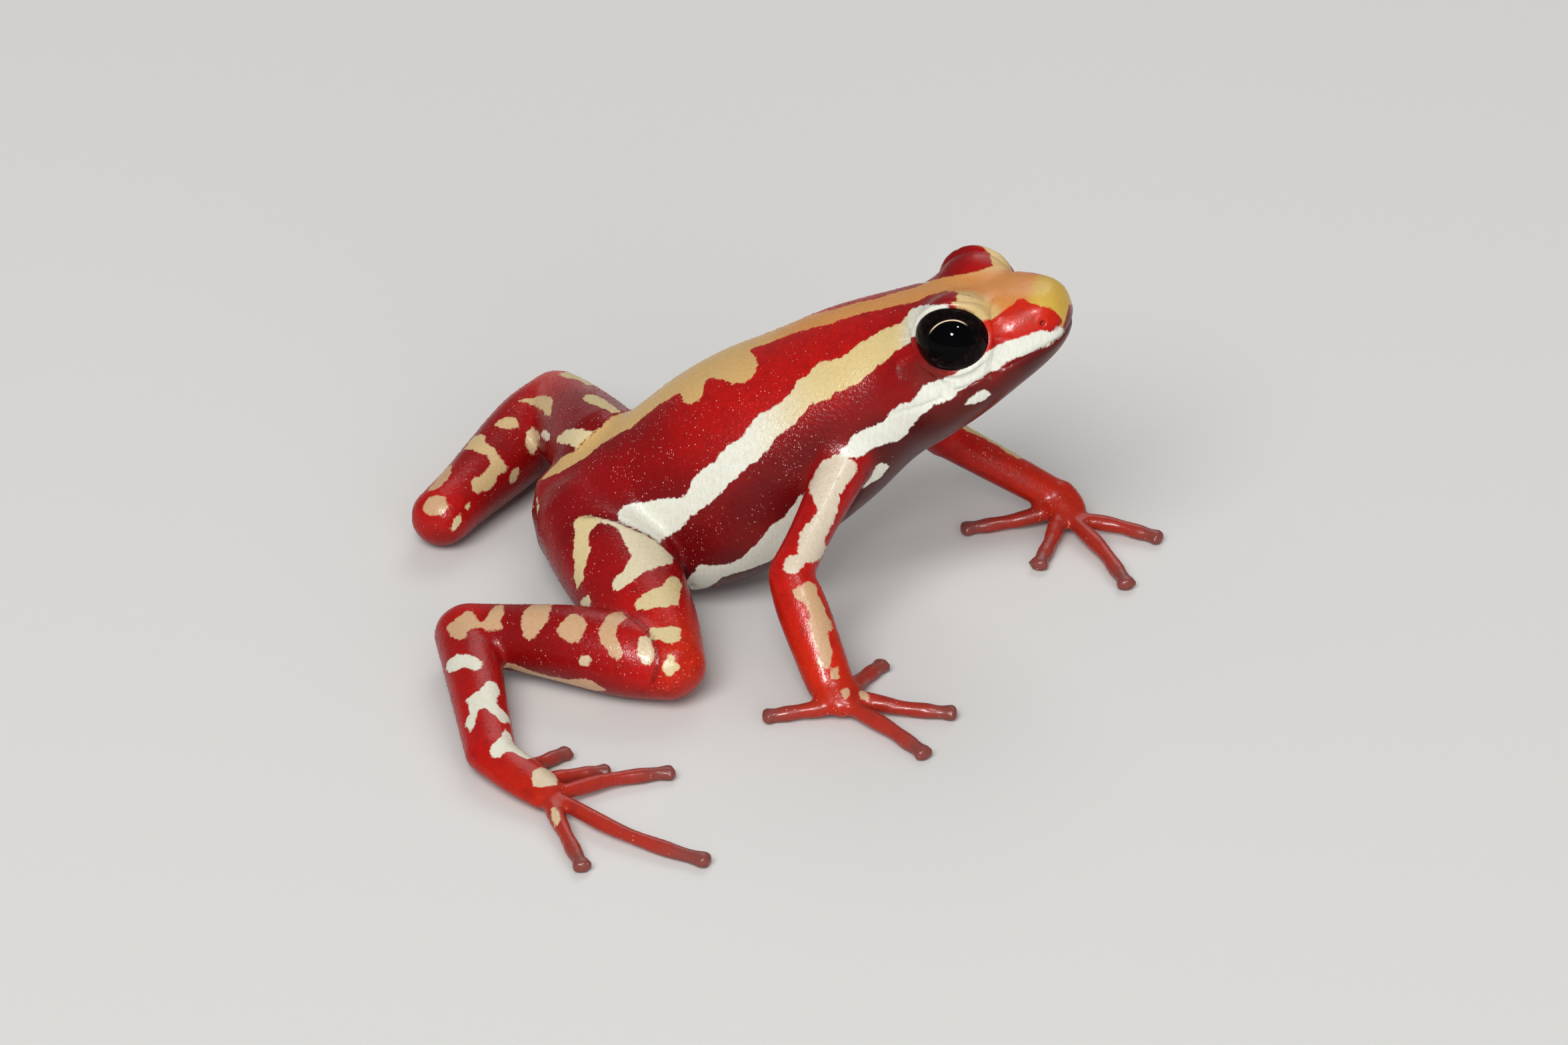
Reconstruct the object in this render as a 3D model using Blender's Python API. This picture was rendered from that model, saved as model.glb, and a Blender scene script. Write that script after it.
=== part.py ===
"""A life-size poison arrow frog, Epipedobates anthonyi, sitting with its head raised.

Lengths are written in millimetres and turned into metres when a mesh is made.
The frog faces +X, its left side is +Y and it rests on the plane z = 0.
"""

import math

import bmesh
import bpy
from mathutils import Matrix, Vector

SNOUT_TO_VENT = 24.0  # an adult
DRAWN_LENGTH = 24.0  # the snout to vent length that the places below are drawn for
MM = 0.001 * SNOUT_TO_VENT / DRAWN_LENGTH
GAP = 0.3  # between two parts that meet
EYE_GAP = 0.2  # between an eyeball and its socket
MOUTH_GAP = 0.25  # between the lips

# The head has a frame of its own: its origin lies midway between the eyes.
HEAD_CENTRE = Vector((4.81, 10.25, 12.15))
HEAD_YAW = math.radians(-13.5)  # turned a little to the frog's right
HEAD_PITCH = math.radians(15)  # nose up

EYE = (-0.12, 2.3, 0.05)  # an eyeball's centre in the head's frame: along, across, up
EYE_RADIUS = 1.45
LID_SIZE = (1.72, 1.75, 1.74)  # half sizes of the swelling that holds an eye
LID = (-0.02, 1.8, 0.0)  # the swelling's centre
NOSTRIL = (3.25, 1.6, -0.15)
NOSTRIL_RADIUS = 0.17
PIT_SIDES = 10

SIDES = {"left": 1, "right": -1}
BODY_SIDES = 36
BALL_SIDES = 24
LIMB_SIDES = 14
DIGIT_SIDES = 8
SEGMENT_RINGS = 9
PALM_RINGS = 5
DIGIT_RINGS = 6

RED = (0.55, 0.02, 0.015)
DARK_RED = (0.33, 0.02, 0.015)
ORANGE_RED = (0.62, 0.09, 0.03)
EYE_BLACK = (0.012, 0.01, 0.012)


def head_axes():
    """The head's forward, left and up directions."""
    turn = Matrix.Rotation(HEAD_YAW, 3, "Z") @ Matrix.Rotation(-HEAD_PITCH, 3, "Y")
    return turn @ Vector((1, 0, 0)), turn @ Vector((0, 1, 0)), turn @ Vector((0, 0, 1))


FORWARD, LEFT, UP = head_axes()


def in_head(along, across, up):
    """A place given in the head's frame."""
    return HEAD_CENTRE + FORWARD * along + LEFT * across + UP * up


def head_station(along, top, bottom, half_width, top_power, bottom_power, taper):
    """One cross section of the head: its top and bottom heights at a distance along it."""
    return (
        in_head(along, 0, top),
        in_head(along, 0, bottom),
        LEFT.copy(),
        half_width,
        top_power,
        bottom_power,
        taper,
    )


def trunk_station(top, bottom, middle, half_width, top_power, bottom_power, taper):
    """One cross section of the trunk: (x, z) of its top and bottom, and the middle plane's y."""
    return (
        Vector((top[0], middle, top[1])),
        Vector((bottom[0], middle, bottom[1])),
        Vector((0, 1, 0)),
        half_width,
        top_power,
        bottom_power,
        taper,
    )


# Cross sections from the snout to the vent. The powers square a section off above
# and below its middle, and a negative taper makes it narrower at the top.
BODY = [
    head_station(3.96, -0.05, -0.9, 0.62, 2.2, 2.2, 0.0),
    head_station(3.8, 0.28, -1.42, 1.12, 2.4, 2.2, 0.0),
    head_station(3.44, 0.58, -1.87, 1.55, 2.7, 2.2, -0.02),
    head_station(2.75, 0.82, -2.38, 2.05, 2.8, 2.2, -0.07),
    head_station(1.7, 1.0, -2.98, 2.65, 2.7, 2.2, -0.12),
    head_station(0.2, 1.1, -3.82, 3.3, 2.5, 2.2, -0.14),
    head_station(-1.4, 1.07, -4.6, 3.7, 2.3, 2.2, -0.12),
    head_station(-3.2, 0.9, -5.5, 3.6, 2.2, 2.2, -0.06),
    trunk_station((-0.6, 11.45), (1.25, 4.1), 10.9, 3.65, 2.2, 2.2, -0.03),
    trunk_station((-2.9, 10.3), (-0.75, 2.3), 11.0, 4.0, 2.2, 2.2, -0.05),
    trunk_station((-4.9, 9.35), (-2.85, 0.9), 11.1, 4.25, 2.2, 2.3, -0.08),
    trunk_station((-6.7, 8.2), (-5.3, 0.1), 11.15, 4.1, 2.2, 2.5, -0.1),
    trunk_station((-8.5, 6.7), (-7.6, -0.2), 11.2, 3.5, 2.2, 2.5, -0.1),
    trunk_station((-10.3, 5.25), (-9.9, -0.2), 11.25, 2.9, 2.2, 2.4, -0.08),
    trunk_station((-11.6, 4.35), (-11.4, 0.0), 11.3, 2.2, 2.1, 2.2, 0.0),
    trunk_station((-12.3, 3.75), (-12.25, 1.1), 11.3, 1.3, 2.0, 2.0, 0.0),
]
BODY_RINGS = 44
NOSE = (4.08, -0.46)  # the front of the snout: (along, up) in the head's frame
TAIL = (-12.55, 11.3, 2.4)
TRUNK_CENTRE = (-5.0, 11.1, 5.0)
NECK = Vector((1.9, 10.25, 9.6))  # the head parts from the trunk through this point
NECK_DIRECTION = (FORWARD + Vector((1, 0, 0.35)).normalized()).normalized()

MOUTH_FRONT = (4.9, -1.05)  # (along, up) in the head's frame
MOUTH_MIDDLE = (1.6, -1.38)
MOUTH_BACK = (-6.0, -3.0)
MOUTH_REACH = 6.0  # half the width of what cuts the mouth, more than the head's
MOUTH_RINGS = 9

# Limb joints.
JOINTS = {
    "right": {
        "shoulder": (0.3, 8.3, 7.2),
        "elbow": (-2.2, 3.5, 4.1),
        "wrist": (-0.63, 0.6, 0.9),
        "palm": (0.05, -0.3, 0.5),
        "hip": (-9.98, 9.65, 3.0),
        "knee": (-6.8, 0.9, 1.5),
        "heel": (-14.9, 3.5, 1.45),
        "ankle": (-13.6, -4.55, 0.87),
        "sole": (-11.3, -6.95, 0.55),
    },
    "left": {
        "shoulder": (0.7, 13.6, 7.2),
        "elbow": (4.1, 15.9, 3.35),
        "wrist": (8.6, 15.2, 0.95),
        "palm": (9.2, 14.2, 0.5),
        "hip": (-9.5, 12.85, 4.1),
        "knee": (-11.8, 20.2, 2.55),
        "heel": (-16.28, 12.95, 1.26),
        "ankle": (-14.9, 18.0, 0.8),
        "sole": (-13.4, 20.6, 0.55),
    },
}

# Fingers and toes, inner one first: where each ends on the floor, and how far its middle
# bows out to the frog's left.
FINGERS = {
    "right": [(1.38, 3.1, 0.1), (4.05, -0.45, -0.1), (2.92, -3.4, 0.1), (-3.05, -0.7, 0.0)],
    "left": [(4.95, 13.8, 0.0), (7.8, 10.95, 0.05), (11.25, 9.4, 0.15), (12.65, 13.1, 0.15)],
}
FINGER_BACK = (0.4, 0.5, 0.0, 0.0)  # how far back from the palm to the wrist each starts
TOES = {
    "right": [
        (-10.8, -3.4, 0.15),
        (-9.25, -4.7, 0.15),
        (-6.8, -4.8, 0.3),
        (-5.4, -10.95, -0.35),
        (-9.97, -11.35, 0.0),
    ],
    "left": [
        (-11.6, 19.8, -0.1),
        (-10.3, 20.6, -0.1),
        (-8.6, 21.4, 0.0),
        (-7.6, 23.3, 0.2),
        (-12.2, 24.2, 0.1),
    ],
}

TOE_BACK = (0.55, 0.3, 0.0, 0.0, 0.1)  # how far back from the sole to the ankle each toe starts

# Half thickness across and up at even steps along each limb segment.
UPPER_ARM = [(1.25, 1.25), (0.98, 1.0), (0.82, 0.85), (0.88, 0.88)]
FOREARM = {
    "right": [(0.88, 0.88), (1.02, 0.98), (1.0, 0.9), (0.95, 0.78)],
    "left": [(0.88, 0.8), (0.9, 0.75), (0.85, 0.7), (0.82, 0.66)],
}
THIGH = {
    "right": [(2.4, 2.1), (2.4, 1.95), (1.98, 1.7), (1.4, 1.35)],
    "left": [(1.9, 2.0), (2.0, 1.85), (1.75, 1.6), (1.4, 1.35)],
}
SHANK = [(1.35, 1.32), (1.6, 1.62), (1.52, 1.52), (1.3, 1.3), (1.22, 1.2)]
SHANK_BOW = {"right": 0.3, "left": -0.15}  # how far the calf bows up
TARSUS = [(1.22, 1.2), (1.14, 1.0), (1.04, 0.85), (0.98, 0.75)]
SOLE = [(0.92, 0.72), (0.98, 0.58), (0.8, 0.46)]
PALM = [(0.88, 0.74), (0.95, 0.6), (0.78, 0.46)]
FINGER = [(0.42, 0.38), (0.33, 0.32), (0.3, 0.29), (0.31, 0.28), (0.42, 0.28)]
TOE = [(0.42, 0.36), (0.31, 0.3), (0.27, 0.27), (0.28, 0.27), (0.4, 0.27)]
DIGIT_HEIGHT = 0.24  # a digit's axis runs this far above the floor
DIGIT_ARCH = 0.16  # its middle rises this much more
FINGER_ROOT = 0.35  # a finger's root lies this far out from the palm's end
TOE_ROOT = 0.3

# A limb segment's rounded end: how far each ring lies beyond it, and how wide it is,
# as shares of the end's half thickness.
END_RINGS = [(0.0, 1.0), (0.38, 0.88), (0.68, 0.6)]
END_TIP = 0.85


def spline(values, share):
    """A smooth value through evenly spaced values, at a share 0 to 1 of the way."""
    steps = len(values) - 1
    place = min(max(share, 0.0), 1.0) * steps
    i = min(int(place), steps - 1)
    t = place - i
    before, a, b, after = (values[min(max(j, 0), steps)] for j in (i - 1, i, i + 1, i + 2))
    return 0.5 * (
        2 * a
        + (b - before) * t
        + (2 * before - 5 * a + 4 * b - after) * t * t
        + (3 * a - before - 3 * b + after) * t**3
    )


def rounded_power(value, power):
    """The superellipse's sine or cosine, with its sign kept."""
    return math.copysign(abs(value) ** (2 / power), value)


def body_ring(share, swell=0.0):
    """Points round the body at a share of the way from snout to vent, swelled outwards by a margin."""
    columns = list(zip(*BODY))
    top, bottom, side = (spline(list(c), share) for c in columns[:3])
    half_width, top_power, bottom_power, taper = (spline(list(c), share) for c in columns[3:])
    centre = (top + bottom) / 2
    upward = (top - bottom) / 2
    reach_up = upward.length + swell
    upward.normalize()
    side.normalize()
    points = []
    for i in range(BODY_SIDES):
        angle = 2 * math.pi * i / BODY_SIDES
        power = top_power if math.cos(angle) > 0 else bottom_power
        rise = rounded_power(math.cos(angle), power)
        across = rounded_power(math.sin(angle), power) * (half_width + swell) * (1 + taper * rise)
        points.append(centre + side * across + upward * reach_up * rise)
    return points


def add_object(name, mesh):
    """An object in the scene for a mesh."""
    made = bpy.data.objects.new(name, mesh)
    bpy.context.scene.collection.objects.link(made)
    return made


def duplicate(name, obj):
    """A second object of the same shape."""
    return add_object(name, obj.data.copy())


def loft(name, rings, start, end):
    """A closed solid through rings of points, closed by a point at each end."""
    shell = bmesh.new()
    loops = [[shell.verts.new(p * MM) for p in ring] for ring in rings]
    sides = len(loops[0])
    for one, two in zip(loops, loops[1:]):
        for i in range(sides):
            j = (i + 1) % sides
            shell.faces.new((one[i], one[j], two[j], two[i]))
    for point, loop in ((start, loops[0]), (end, loops[-1])):
        tip = shell.verts.new(point * MM)
        for i in range(sides):
            shell.faces.new((loop[i], loop[(i + 1) % sides], tip))
    bmesh.ops.recalc_face_normals(shell, faces=shell.faces)
    bmesh.ops.triangulate(shell, faces=shell.faces)
    mesh = bpy.data.meshes.new(name)
    shell.to_mesh(mesh)
    shell.free()
    return add_object(name, mesh)


def body_solid(name, swell=0.0):
    """The head and trunk in one piece."""
    rings = [body_ring(i / (BODY_RINGS - 1), swell) for i in range(BODY_RINGS)]
    along, up = NOSE
    nose = in_head(along + swell, 0, up)
    return loft(name, rings, nose, Vector(TAIL) - Vector((swell, 0, 0)))


def limb(name, path, thickness, sides=LIMB_SIDES, rings=SEGMENT_RINGS):
    """A tapering limb segment along a smooth path, with a rounded end at both ends."""
    path = [Vector(p) for p in path]
    sizes = [Vector((a, b)) for a, b in thickness]
    loops = []
    ends = []
    for k in range(rings):
        share = k / (rings - 1)
        centre = spline(path, share)
        along = (spline(path, share + 0.02) - spline(path, share - 0.02)).normalized()
        across = along.cross(Vector((0, 0, 1))).normalized()
        upward = across.cross(along)
        across_size, up_size = spline(sizes, share)
        steps = [(0.0, 1.0)]
        if k == 0:
            steps = [(-offset, shrink) for offset, shrink in reversed(END_RINGS)]
            ends.append(centre - along * END_TIP * up_size)
        if k == rings - 1:
            steps = END_RINGS
            ends.append(centre + along * END_TIP * up_size)
        for offset, shrink in steps:
            ring = []
            for i in range(sides):
                angle = 2 * math.pi * i / sides
                ring.append(
                    centre
                    + along * offset * up_size
                    + across * math.sin(angle) * across_size * shrink
                    + upward * math.cos(angle) * up_size * shrink
                )
            loops.append(ring)
    return loft(name, loops, *ends)


def trim(obj, point, direction):
    """Cuts away what lies beyond a plane, in the direction given, and closes the cut."""
    shell = bmesh.new()
    shell.from_mesh(obj.data)
    everything = list(shell.verts) + list(shell.edges) + list(shell.faces)
    bmesh.ops.bisect_plane(
        shell,
        geom=everything,
        dist=1e-8,
        plane_co=Vector(point) * MM,
        plane_no=Vector(direction),
        clear_outer=True,
    )
    rim = [e for e in shell.edges if e.is_boundary]
    bmesh.ops.holes_fill(shell, edges=rim, sides=0)
    bmesh.ops.triangulate(shell, faces=shell.faces)
    bmesh.ops.recalc_face_normals(shell, faces=shell.faces)
    shell.to_mesh(obj.data)
    shell.free()


def part_at(first, second, joint, before, after):
    """Parts two limb segments at their joint by a plane that halves the bend."""
    joint = Vector(joint)
    into = (joint - Vector(before)).normalized()
    out_of = (Vector(after) - joint).normalized()
    normal = (into + out_of).normalized()
    trim(first, joint - normal * GAP / 2, normal)
    trim(second, joint + normal * GAP / 2, -normal)


def boolean(obj, other, operation):
    """Joins or cuts an object with another one or with a collection, and applies it."""
    change = obj.modifiers.new("change", "BOOLEAN")
    change.operation = operation
    change.solver = "EXACT"
    if isinstance(other, bpy.types.Collection):
        change.operand_type = "COLLECTION"
        change.collection = other
        used = list(other.objects)
    else:
        change.object = other
        used = [other]
    graph = bpy.context.evaluated_depsgraph_get()
    mesh = bpy.data.meshes.new_from_object(obj.evaluated_get(graph))
    obj.modifiers.clear()
    obj.data = mesh
    for one in used:
        bpy.data.objects.remove(one)
    if isinstance(other, bpy.types.Collection):
        bpy.data.collections.remove(other)


def surfaces(shell):
    """The vertices of each closed surface of a mesh, largest surface first."""
    left = set(shell.verts)
    groups = []
    while left:
        group = {left.pop()}
        waiting = list(group)
        while waiting:
            vert = waiting.pop()
            for link in vert.link_edges:
                other = link.other_vert(vert)
                if other in left:
                    left.remove(other)
                    group.add(other)
                    waiting.append(other)
        groups.append(group)
    return sorted(groups, key=len, reverse=True)


def keep_surface(obj, choose):
    """Keeps one closed surface of an object: the one that a function picks from them all."""
    shell = bmesh.new()
    shell.from_mesh(obj.data)
    bmesh.ops.remove_doubles(shell, verts=shell.verts, dist=1e-7)
    kept = choose(surfaces(shell))
    bmesh.ops.delete(shell, geom=[v for v in shell.verts if v not in kept], context="VERTS")
    bmesh.ops.triangulate(shell, faces=shell.faces)
    shell.to_mesh(obj.data)
    shell.free()


def largest(groups):
    """The largest of an object's surfaces."""
    return groups[0]


def height(group):
    """The mean height of a surface's points."""
    return sum(v.co.z for v in group) / len(group)


def upper_half(groups):
    """The higher of the two largest surfaces."""
    return max(groups[:2], key=height)


def lower_half(groups):
    """The lower of the two largest surfaces."""
    return min(groups[:2], key=height)


def join(obj, pieces):
    """Fuses pieces into an object, as one closed body."""
    group = bpy.data.collections.new("pieces")
    for piece in pieces:
        group.objects.link(piece)
    boolean(obj, group, "UNION")
    keep_surface(obj, largest)


def finish(obj, root, colour, roughness=0.35):
    """Flattens an object at the floor, puts its origin at its root and gives it its skin."""
    trim(obj, (0, 0, 0), (0, 0, -1))
    root = Vector(root) * MM
    obj.data.transform(Matrix.Translation(-root))
    obj.location = root
    skin = bpy.data.materials.new(obj.name + "_skin")
    skin.use_nodes = True
    shader = skin.node_tree.nodes["Principled BSDF"]
    shader.inputs["Base Color"].default_value = (*colour, 1)
    shader.inputs["Roughness"].default_value = roughness
    obj.data.materials.clear()
    obj.data.materials.append(skin)
    obj.data.shade_smooth()
    obj.data.set_sharp_from_angle(angle=math.radians(40))


def on_side(place, sign):
    """A place of the head's left side, or its mirror image on the right with a sign of -1."""
    along, across, up = place
    return in_head(along, sign * across, up)


def ball(name, centre, radii, segments=BALL_SIDES):
    """An ellipsoid whose half sizes lie along the head's axes."""
    shell = bmesh.new()
    bmesh.ops.create_uvsphere(shell, u_segments=segments, v_segments=segments // 2, radius=1)
    shape = Matrix((FORWARD * radii[0], LEFT * radii[1], UP * radii[2])).transposed()
    shell.transform(Matrix.Translation(centre * MM) @ (shape * MM).to_4x4())
    bmesh.ops.triangulate(shell, faces=shell.faces)
    mesh = bpy.data.meshes.new(name)
    shell.to_mesh(mesh)
    shell.free()
    return add_object(name, mesh)


def mouth_cutter():
    """A thin curved slab along the line of the mouth, wider than the head."""
    points = [Vector(p) for p in (MOUTH_FRONT, MOUTH_MIDDLE, MOUTH_BACK)]
    corners = ((-1, -1), (1, -1), (1, 1), (-1, 1))
    rings = []
    for k in range(MOUTH_RINGS):
        middle = spline(points, k / (MOUTH_RINGS - 1))
        rings.append(
            [in_head(middle.x, y * MOUTH_REACH, middle.y + z * MOUTH_GAP / 2) for y, z in corners]
        )
    first = sum(rings[0], Vector()) / 4
    last = sum(rings[-1], Vector()) / 4
    return loft("mouth_cutter", rings, first, last)


def make_head(body):
    """The head, its lower jaw and its eyes, with the head parted from the rest of the body."""
    head = duplicate("head", body)
    trim(body, NECK - NECK_DIRECTION * GAP / 2, NECK_DIRECTION)
    trim(head, NECK + NECK_DIRECTION * GAP / 2, -NECK_DIRECTION)
    eyes = {}
    lids = []
    for side, sign in SIDES.items():
        lids.append(ball("lid", on_side(LID, sign), LID_SIZE))
        eyes[side] = ball(side + "_eye", on_side(EYE, sign), (EYE_RADIUS,) * 3)
    join(head, lids)
    for sign in SIDES.values():
        socket = ball("socket", on_side(EYE, sign), (EYE_RADIUS + EYE_GAP,) * 3)
        boolean(head, socket, "DIFFERENCE")
        pit = ball("pit", on_side(NOSTRIL, sign), (NOSTRIL_RADIUS,) * 3, PIT_SIDES)
        boolean(head, pit, "DIFFERENCE")
    boolean(head, mouth_cutter(), "DIFFERENCE")
    jaw = duplicate("lower_jaw", head)
    keep_surface(head, upper_half)
    keep_surface(jaw, lower_half)
    return head, jaw, eyes


def digit_path(base, tip):
    """A digit from its base down to its tip on the floor, arched and bowed a little."""
    x, y, bow = tip
    end = Vector((x, y, DIGIT_HEIGHT))
    along = (end - base).normalized()
    sideways = Vector((0, 0, 1)).cross(along) * bow
    middle = base.lerp(end, 0.45) + sideways
    middle.z = DIGIT_HEIGHT + DIGIT_ARCH
    late = base.lerp(end, 0.8) + sideways * 0.6
    late.z = DIGIT_HEIGHT + DIGIT_ARCH * 0.3
    return [base, middle, late, end]


def add_digits(hand, palm, behind, tips, backs, sizes, reach):
    """Fuses the digits of a hand or foot to its palm, some starting further back than others."""
    digits = []
    for tip, back in zip(tips, backs):
        start = palm.lerp(behind, back)
        away = Vector((tip[0] - start.x, tip[1] - start.y, 0)).normalized()
        base = start + away * reach
        path = [start, *digit_path(base, tip)]
        digits.append(limb("digit", path, sizes, DIGIT_SIDES, DIGIT_RINGS))
    join(hand, digits)


def make_arm(side):
    """Upper arm, forearm and hand of one side."""
    joint = {name: Vector(place) for name, place in JOINTS[side].items()}
    shoulder, elbow, wrist, palm = (joint[n] for n in ("shoulder", "elbow", "wrist", "palm"))
    upper = limb(side + "_upper_arm", [shoulder, elbow], UPPER_ARM)
    lower = limb(side + "_forearm", [elbow, wrist], FOREARM[side])
    hand = limb(side + "_hand", [wrist, palm], PALM, rings=PALM_RINGS)
    boolean(upper, body_solid("chest", GAP), "DIFFERENCE")
    keep_surface(upper, largest)
    part_at(upper, lower, elbow, shoulder, wrist)
    part_at(lower, hand, wrist, elbow, palm)
    add_digits(hand, palm, wrist, FINGERS[side], FINGER_BACK, FINGER, FINGER_ROOT)
    finish(upper, shoulder, RED)
    finish(lower, elbow, RED)
    finish(hand, wrist, ORANGE_RED)


def make_leg(side):
    """Thigh, shank, tarsus and foot of one side."""
    joint = {name: Vector(place) for name, place in JOINTS[side].items()}
    hip, knee, heel = (joint[n] for n in ("hip", "knee", "heel"))
    ankle, sole = (joint[n] for n in ("ankle", "sole"))
    calf = knee.lerp(heel, 0.5) + Vector((0, 0, SHANK_BOW[side]))
    thigh = limb(side + "_thigh", [hip, knee], THIGH[side])
    shank = limb(side + "_shank", [knee, calf, heel], SHANK)
    tarsus = limb(side + "_tarsus", [heel, ankle], TARSUS)
    foot = limb(side + "_foot", [ankle, sole], SOLE, rings=PALM_RINGS)
    boolean(thigh, body_solid("pelvis", GAP), "DIFFERENCE")
    keep_surface(thigh, largest)
    part_at(thigh, shank, knee, hip, heel)
    part_at(shank, tarsus, heel, knee, ankle)
    part_at(tarsus, foot, ankle, heel, sole)
    add_digits(foot, sole, ankle, TOES[side], TOE_BACK, TOE, TOE_ROOT)
    finish(thigh, hip, RED)
    finish(shank, knee, RED)
    finish(tarsus, heel, RED)
    finish(foot, ankle, ORANGE_RED)


def centre_on_floor():
    """Moves the whole frog so that the origin lies on the floor below the middle of its box."""
    bpy.context.view_layer.update()
    corners = [
        obj.matrix_world @ v.co
        for obj in bpy.context.scene.objects
        if obj.type == "MESH"
        for v in obj.data.vertices
    ]
    low = Vector([min(c[i] for c in corners) for i in range(3)])
    high = Vector([max(c[i] for c in corners) for i in range(3)])
    frog = bpy.data.objects.new("frog", None)
    frog.location = Vector((-(low.x + high.x) / 2, -(low.y + high.y) / 2, 0))
    parts = bpy.data.collections.new("anthonys_poison_arrow_frog")
    bpy.context.scene.collection.children.link(parts)
    for obj in list(bpy.context.scene.objects):
        obj.parent = frog
        bpy.context.scene.collection.objects.unlink(obj)
        parts.objects.link(obj)
    parts.objects.link(frog)


def main():
    for old in list(bpy.data.objects):
        bpy.data.objects.remove(old)
    trunk = body_solid("torso")
    head, jaw, eyes = make_head(trunk)
    finish(head, HEAD_CENTRE, RED)
    finish(jaw, in_head(MOUTH_MIDDLE[0], 0, MOUTH_MIDDLE[1]), DARK_RED)
    finish(trunk, TRUNK_CENTRE, RED)
    for side, sign in SIDES.items():
        finish(eyes[side], on_side(EYE, sign), EYE_BLACK, 0.05)
        make_arm(side)
        make_leg(side)
    centre_on_floor()


main()
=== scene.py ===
import math

import bmesh
import bpy
import numpy as np
from mathutils import Matrix, Vector
from mathutils.bvhtree import BVHTree
from mathutils.kdtree import KDTree


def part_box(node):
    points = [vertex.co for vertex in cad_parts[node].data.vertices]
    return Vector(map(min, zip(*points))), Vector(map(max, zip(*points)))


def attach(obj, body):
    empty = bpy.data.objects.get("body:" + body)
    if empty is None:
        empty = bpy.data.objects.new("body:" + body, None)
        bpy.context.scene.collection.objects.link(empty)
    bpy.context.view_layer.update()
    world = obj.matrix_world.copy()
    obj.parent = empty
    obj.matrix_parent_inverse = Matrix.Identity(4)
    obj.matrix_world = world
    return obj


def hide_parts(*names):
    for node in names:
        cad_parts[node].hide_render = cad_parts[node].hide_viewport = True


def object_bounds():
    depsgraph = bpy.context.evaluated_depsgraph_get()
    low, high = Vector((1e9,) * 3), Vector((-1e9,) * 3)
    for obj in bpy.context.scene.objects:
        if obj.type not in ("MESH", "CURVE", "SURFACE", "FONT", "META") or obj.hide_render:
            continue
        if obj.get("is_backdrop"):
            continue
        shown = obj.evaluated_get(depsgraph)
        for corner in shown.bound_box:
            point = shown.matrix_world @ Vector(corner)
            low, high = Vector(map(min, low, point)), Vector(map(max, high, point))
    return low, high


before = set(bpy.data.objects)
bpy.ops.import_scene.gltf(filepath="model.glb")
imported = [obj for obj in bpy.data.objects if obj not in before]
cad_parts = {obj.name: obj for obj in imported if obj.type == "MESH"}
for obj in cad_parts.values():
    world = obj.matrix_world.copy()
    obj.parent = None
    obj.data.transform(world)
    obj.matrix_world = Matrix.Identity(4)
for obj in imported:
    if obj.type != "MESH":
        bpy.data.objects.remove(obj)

cadLow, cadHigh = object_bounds()

# A living-size poison arrow frog. Places are in millimetres in the frog's drawing frame:
# it faces +X, its left side is +Y and it sits on z = 0. They become metres at the end.
mm = 0.001

head = {
    "centre": Vector((4.81, 10.25, 12.15)),  # midway between the eyes
    "yaw": -13.5,  # degrees, to the frog's right
    "pitch": 15,  # degrees, nose up
    "eye": (-0.12, 2.3, 0.05),  # along, across, up from the head's centre
    "eyeRadius": 1.45,
    "lid": (-0.02, 1.8, 0.0),
    "lidSize": {"left": (1.72, 1.72, 1.6), "right": (1.72, 1.75, 1.6)},
    "nostril": (3.36, 1.58, -0.16),
    "nose": (4.08, -0.46),
    "mouth": ((4.9, -1.05), (1.6, -1.38), (-6.0, -3.0)),  # (along, up)
}
headTurn = Matrix.Rotation(math.radians(head["yaw"]), 3, "Z") @ Matrix.Rotation(
    -math.radians(head["pitch"]), 3, "Y")
forward, leftward, upward = (headTurn @ Vector(a) for a in ((1, 0, 0), (0, 1, 0), (0, 0, 1)))


def inHead(along, across, up):
    return head["centre"] + forward * along + leftward * across + upward * up


def onSide(place, sign):
    return inHead(place[0], sign * place[1], place[2])


# the drawing frame is carried to the row frame by where the CAD holds the right eye
eyeLow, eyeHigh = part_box("right_eye")
shift = (eyeLow + eyeHigh) / 2 - onSide(head["eye"], -1) * mm
print("drawing frame shifted by", [round(v / mm, 3) for v in shift], "mm")

sides = {"left": 1, "right": -1}

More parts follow.
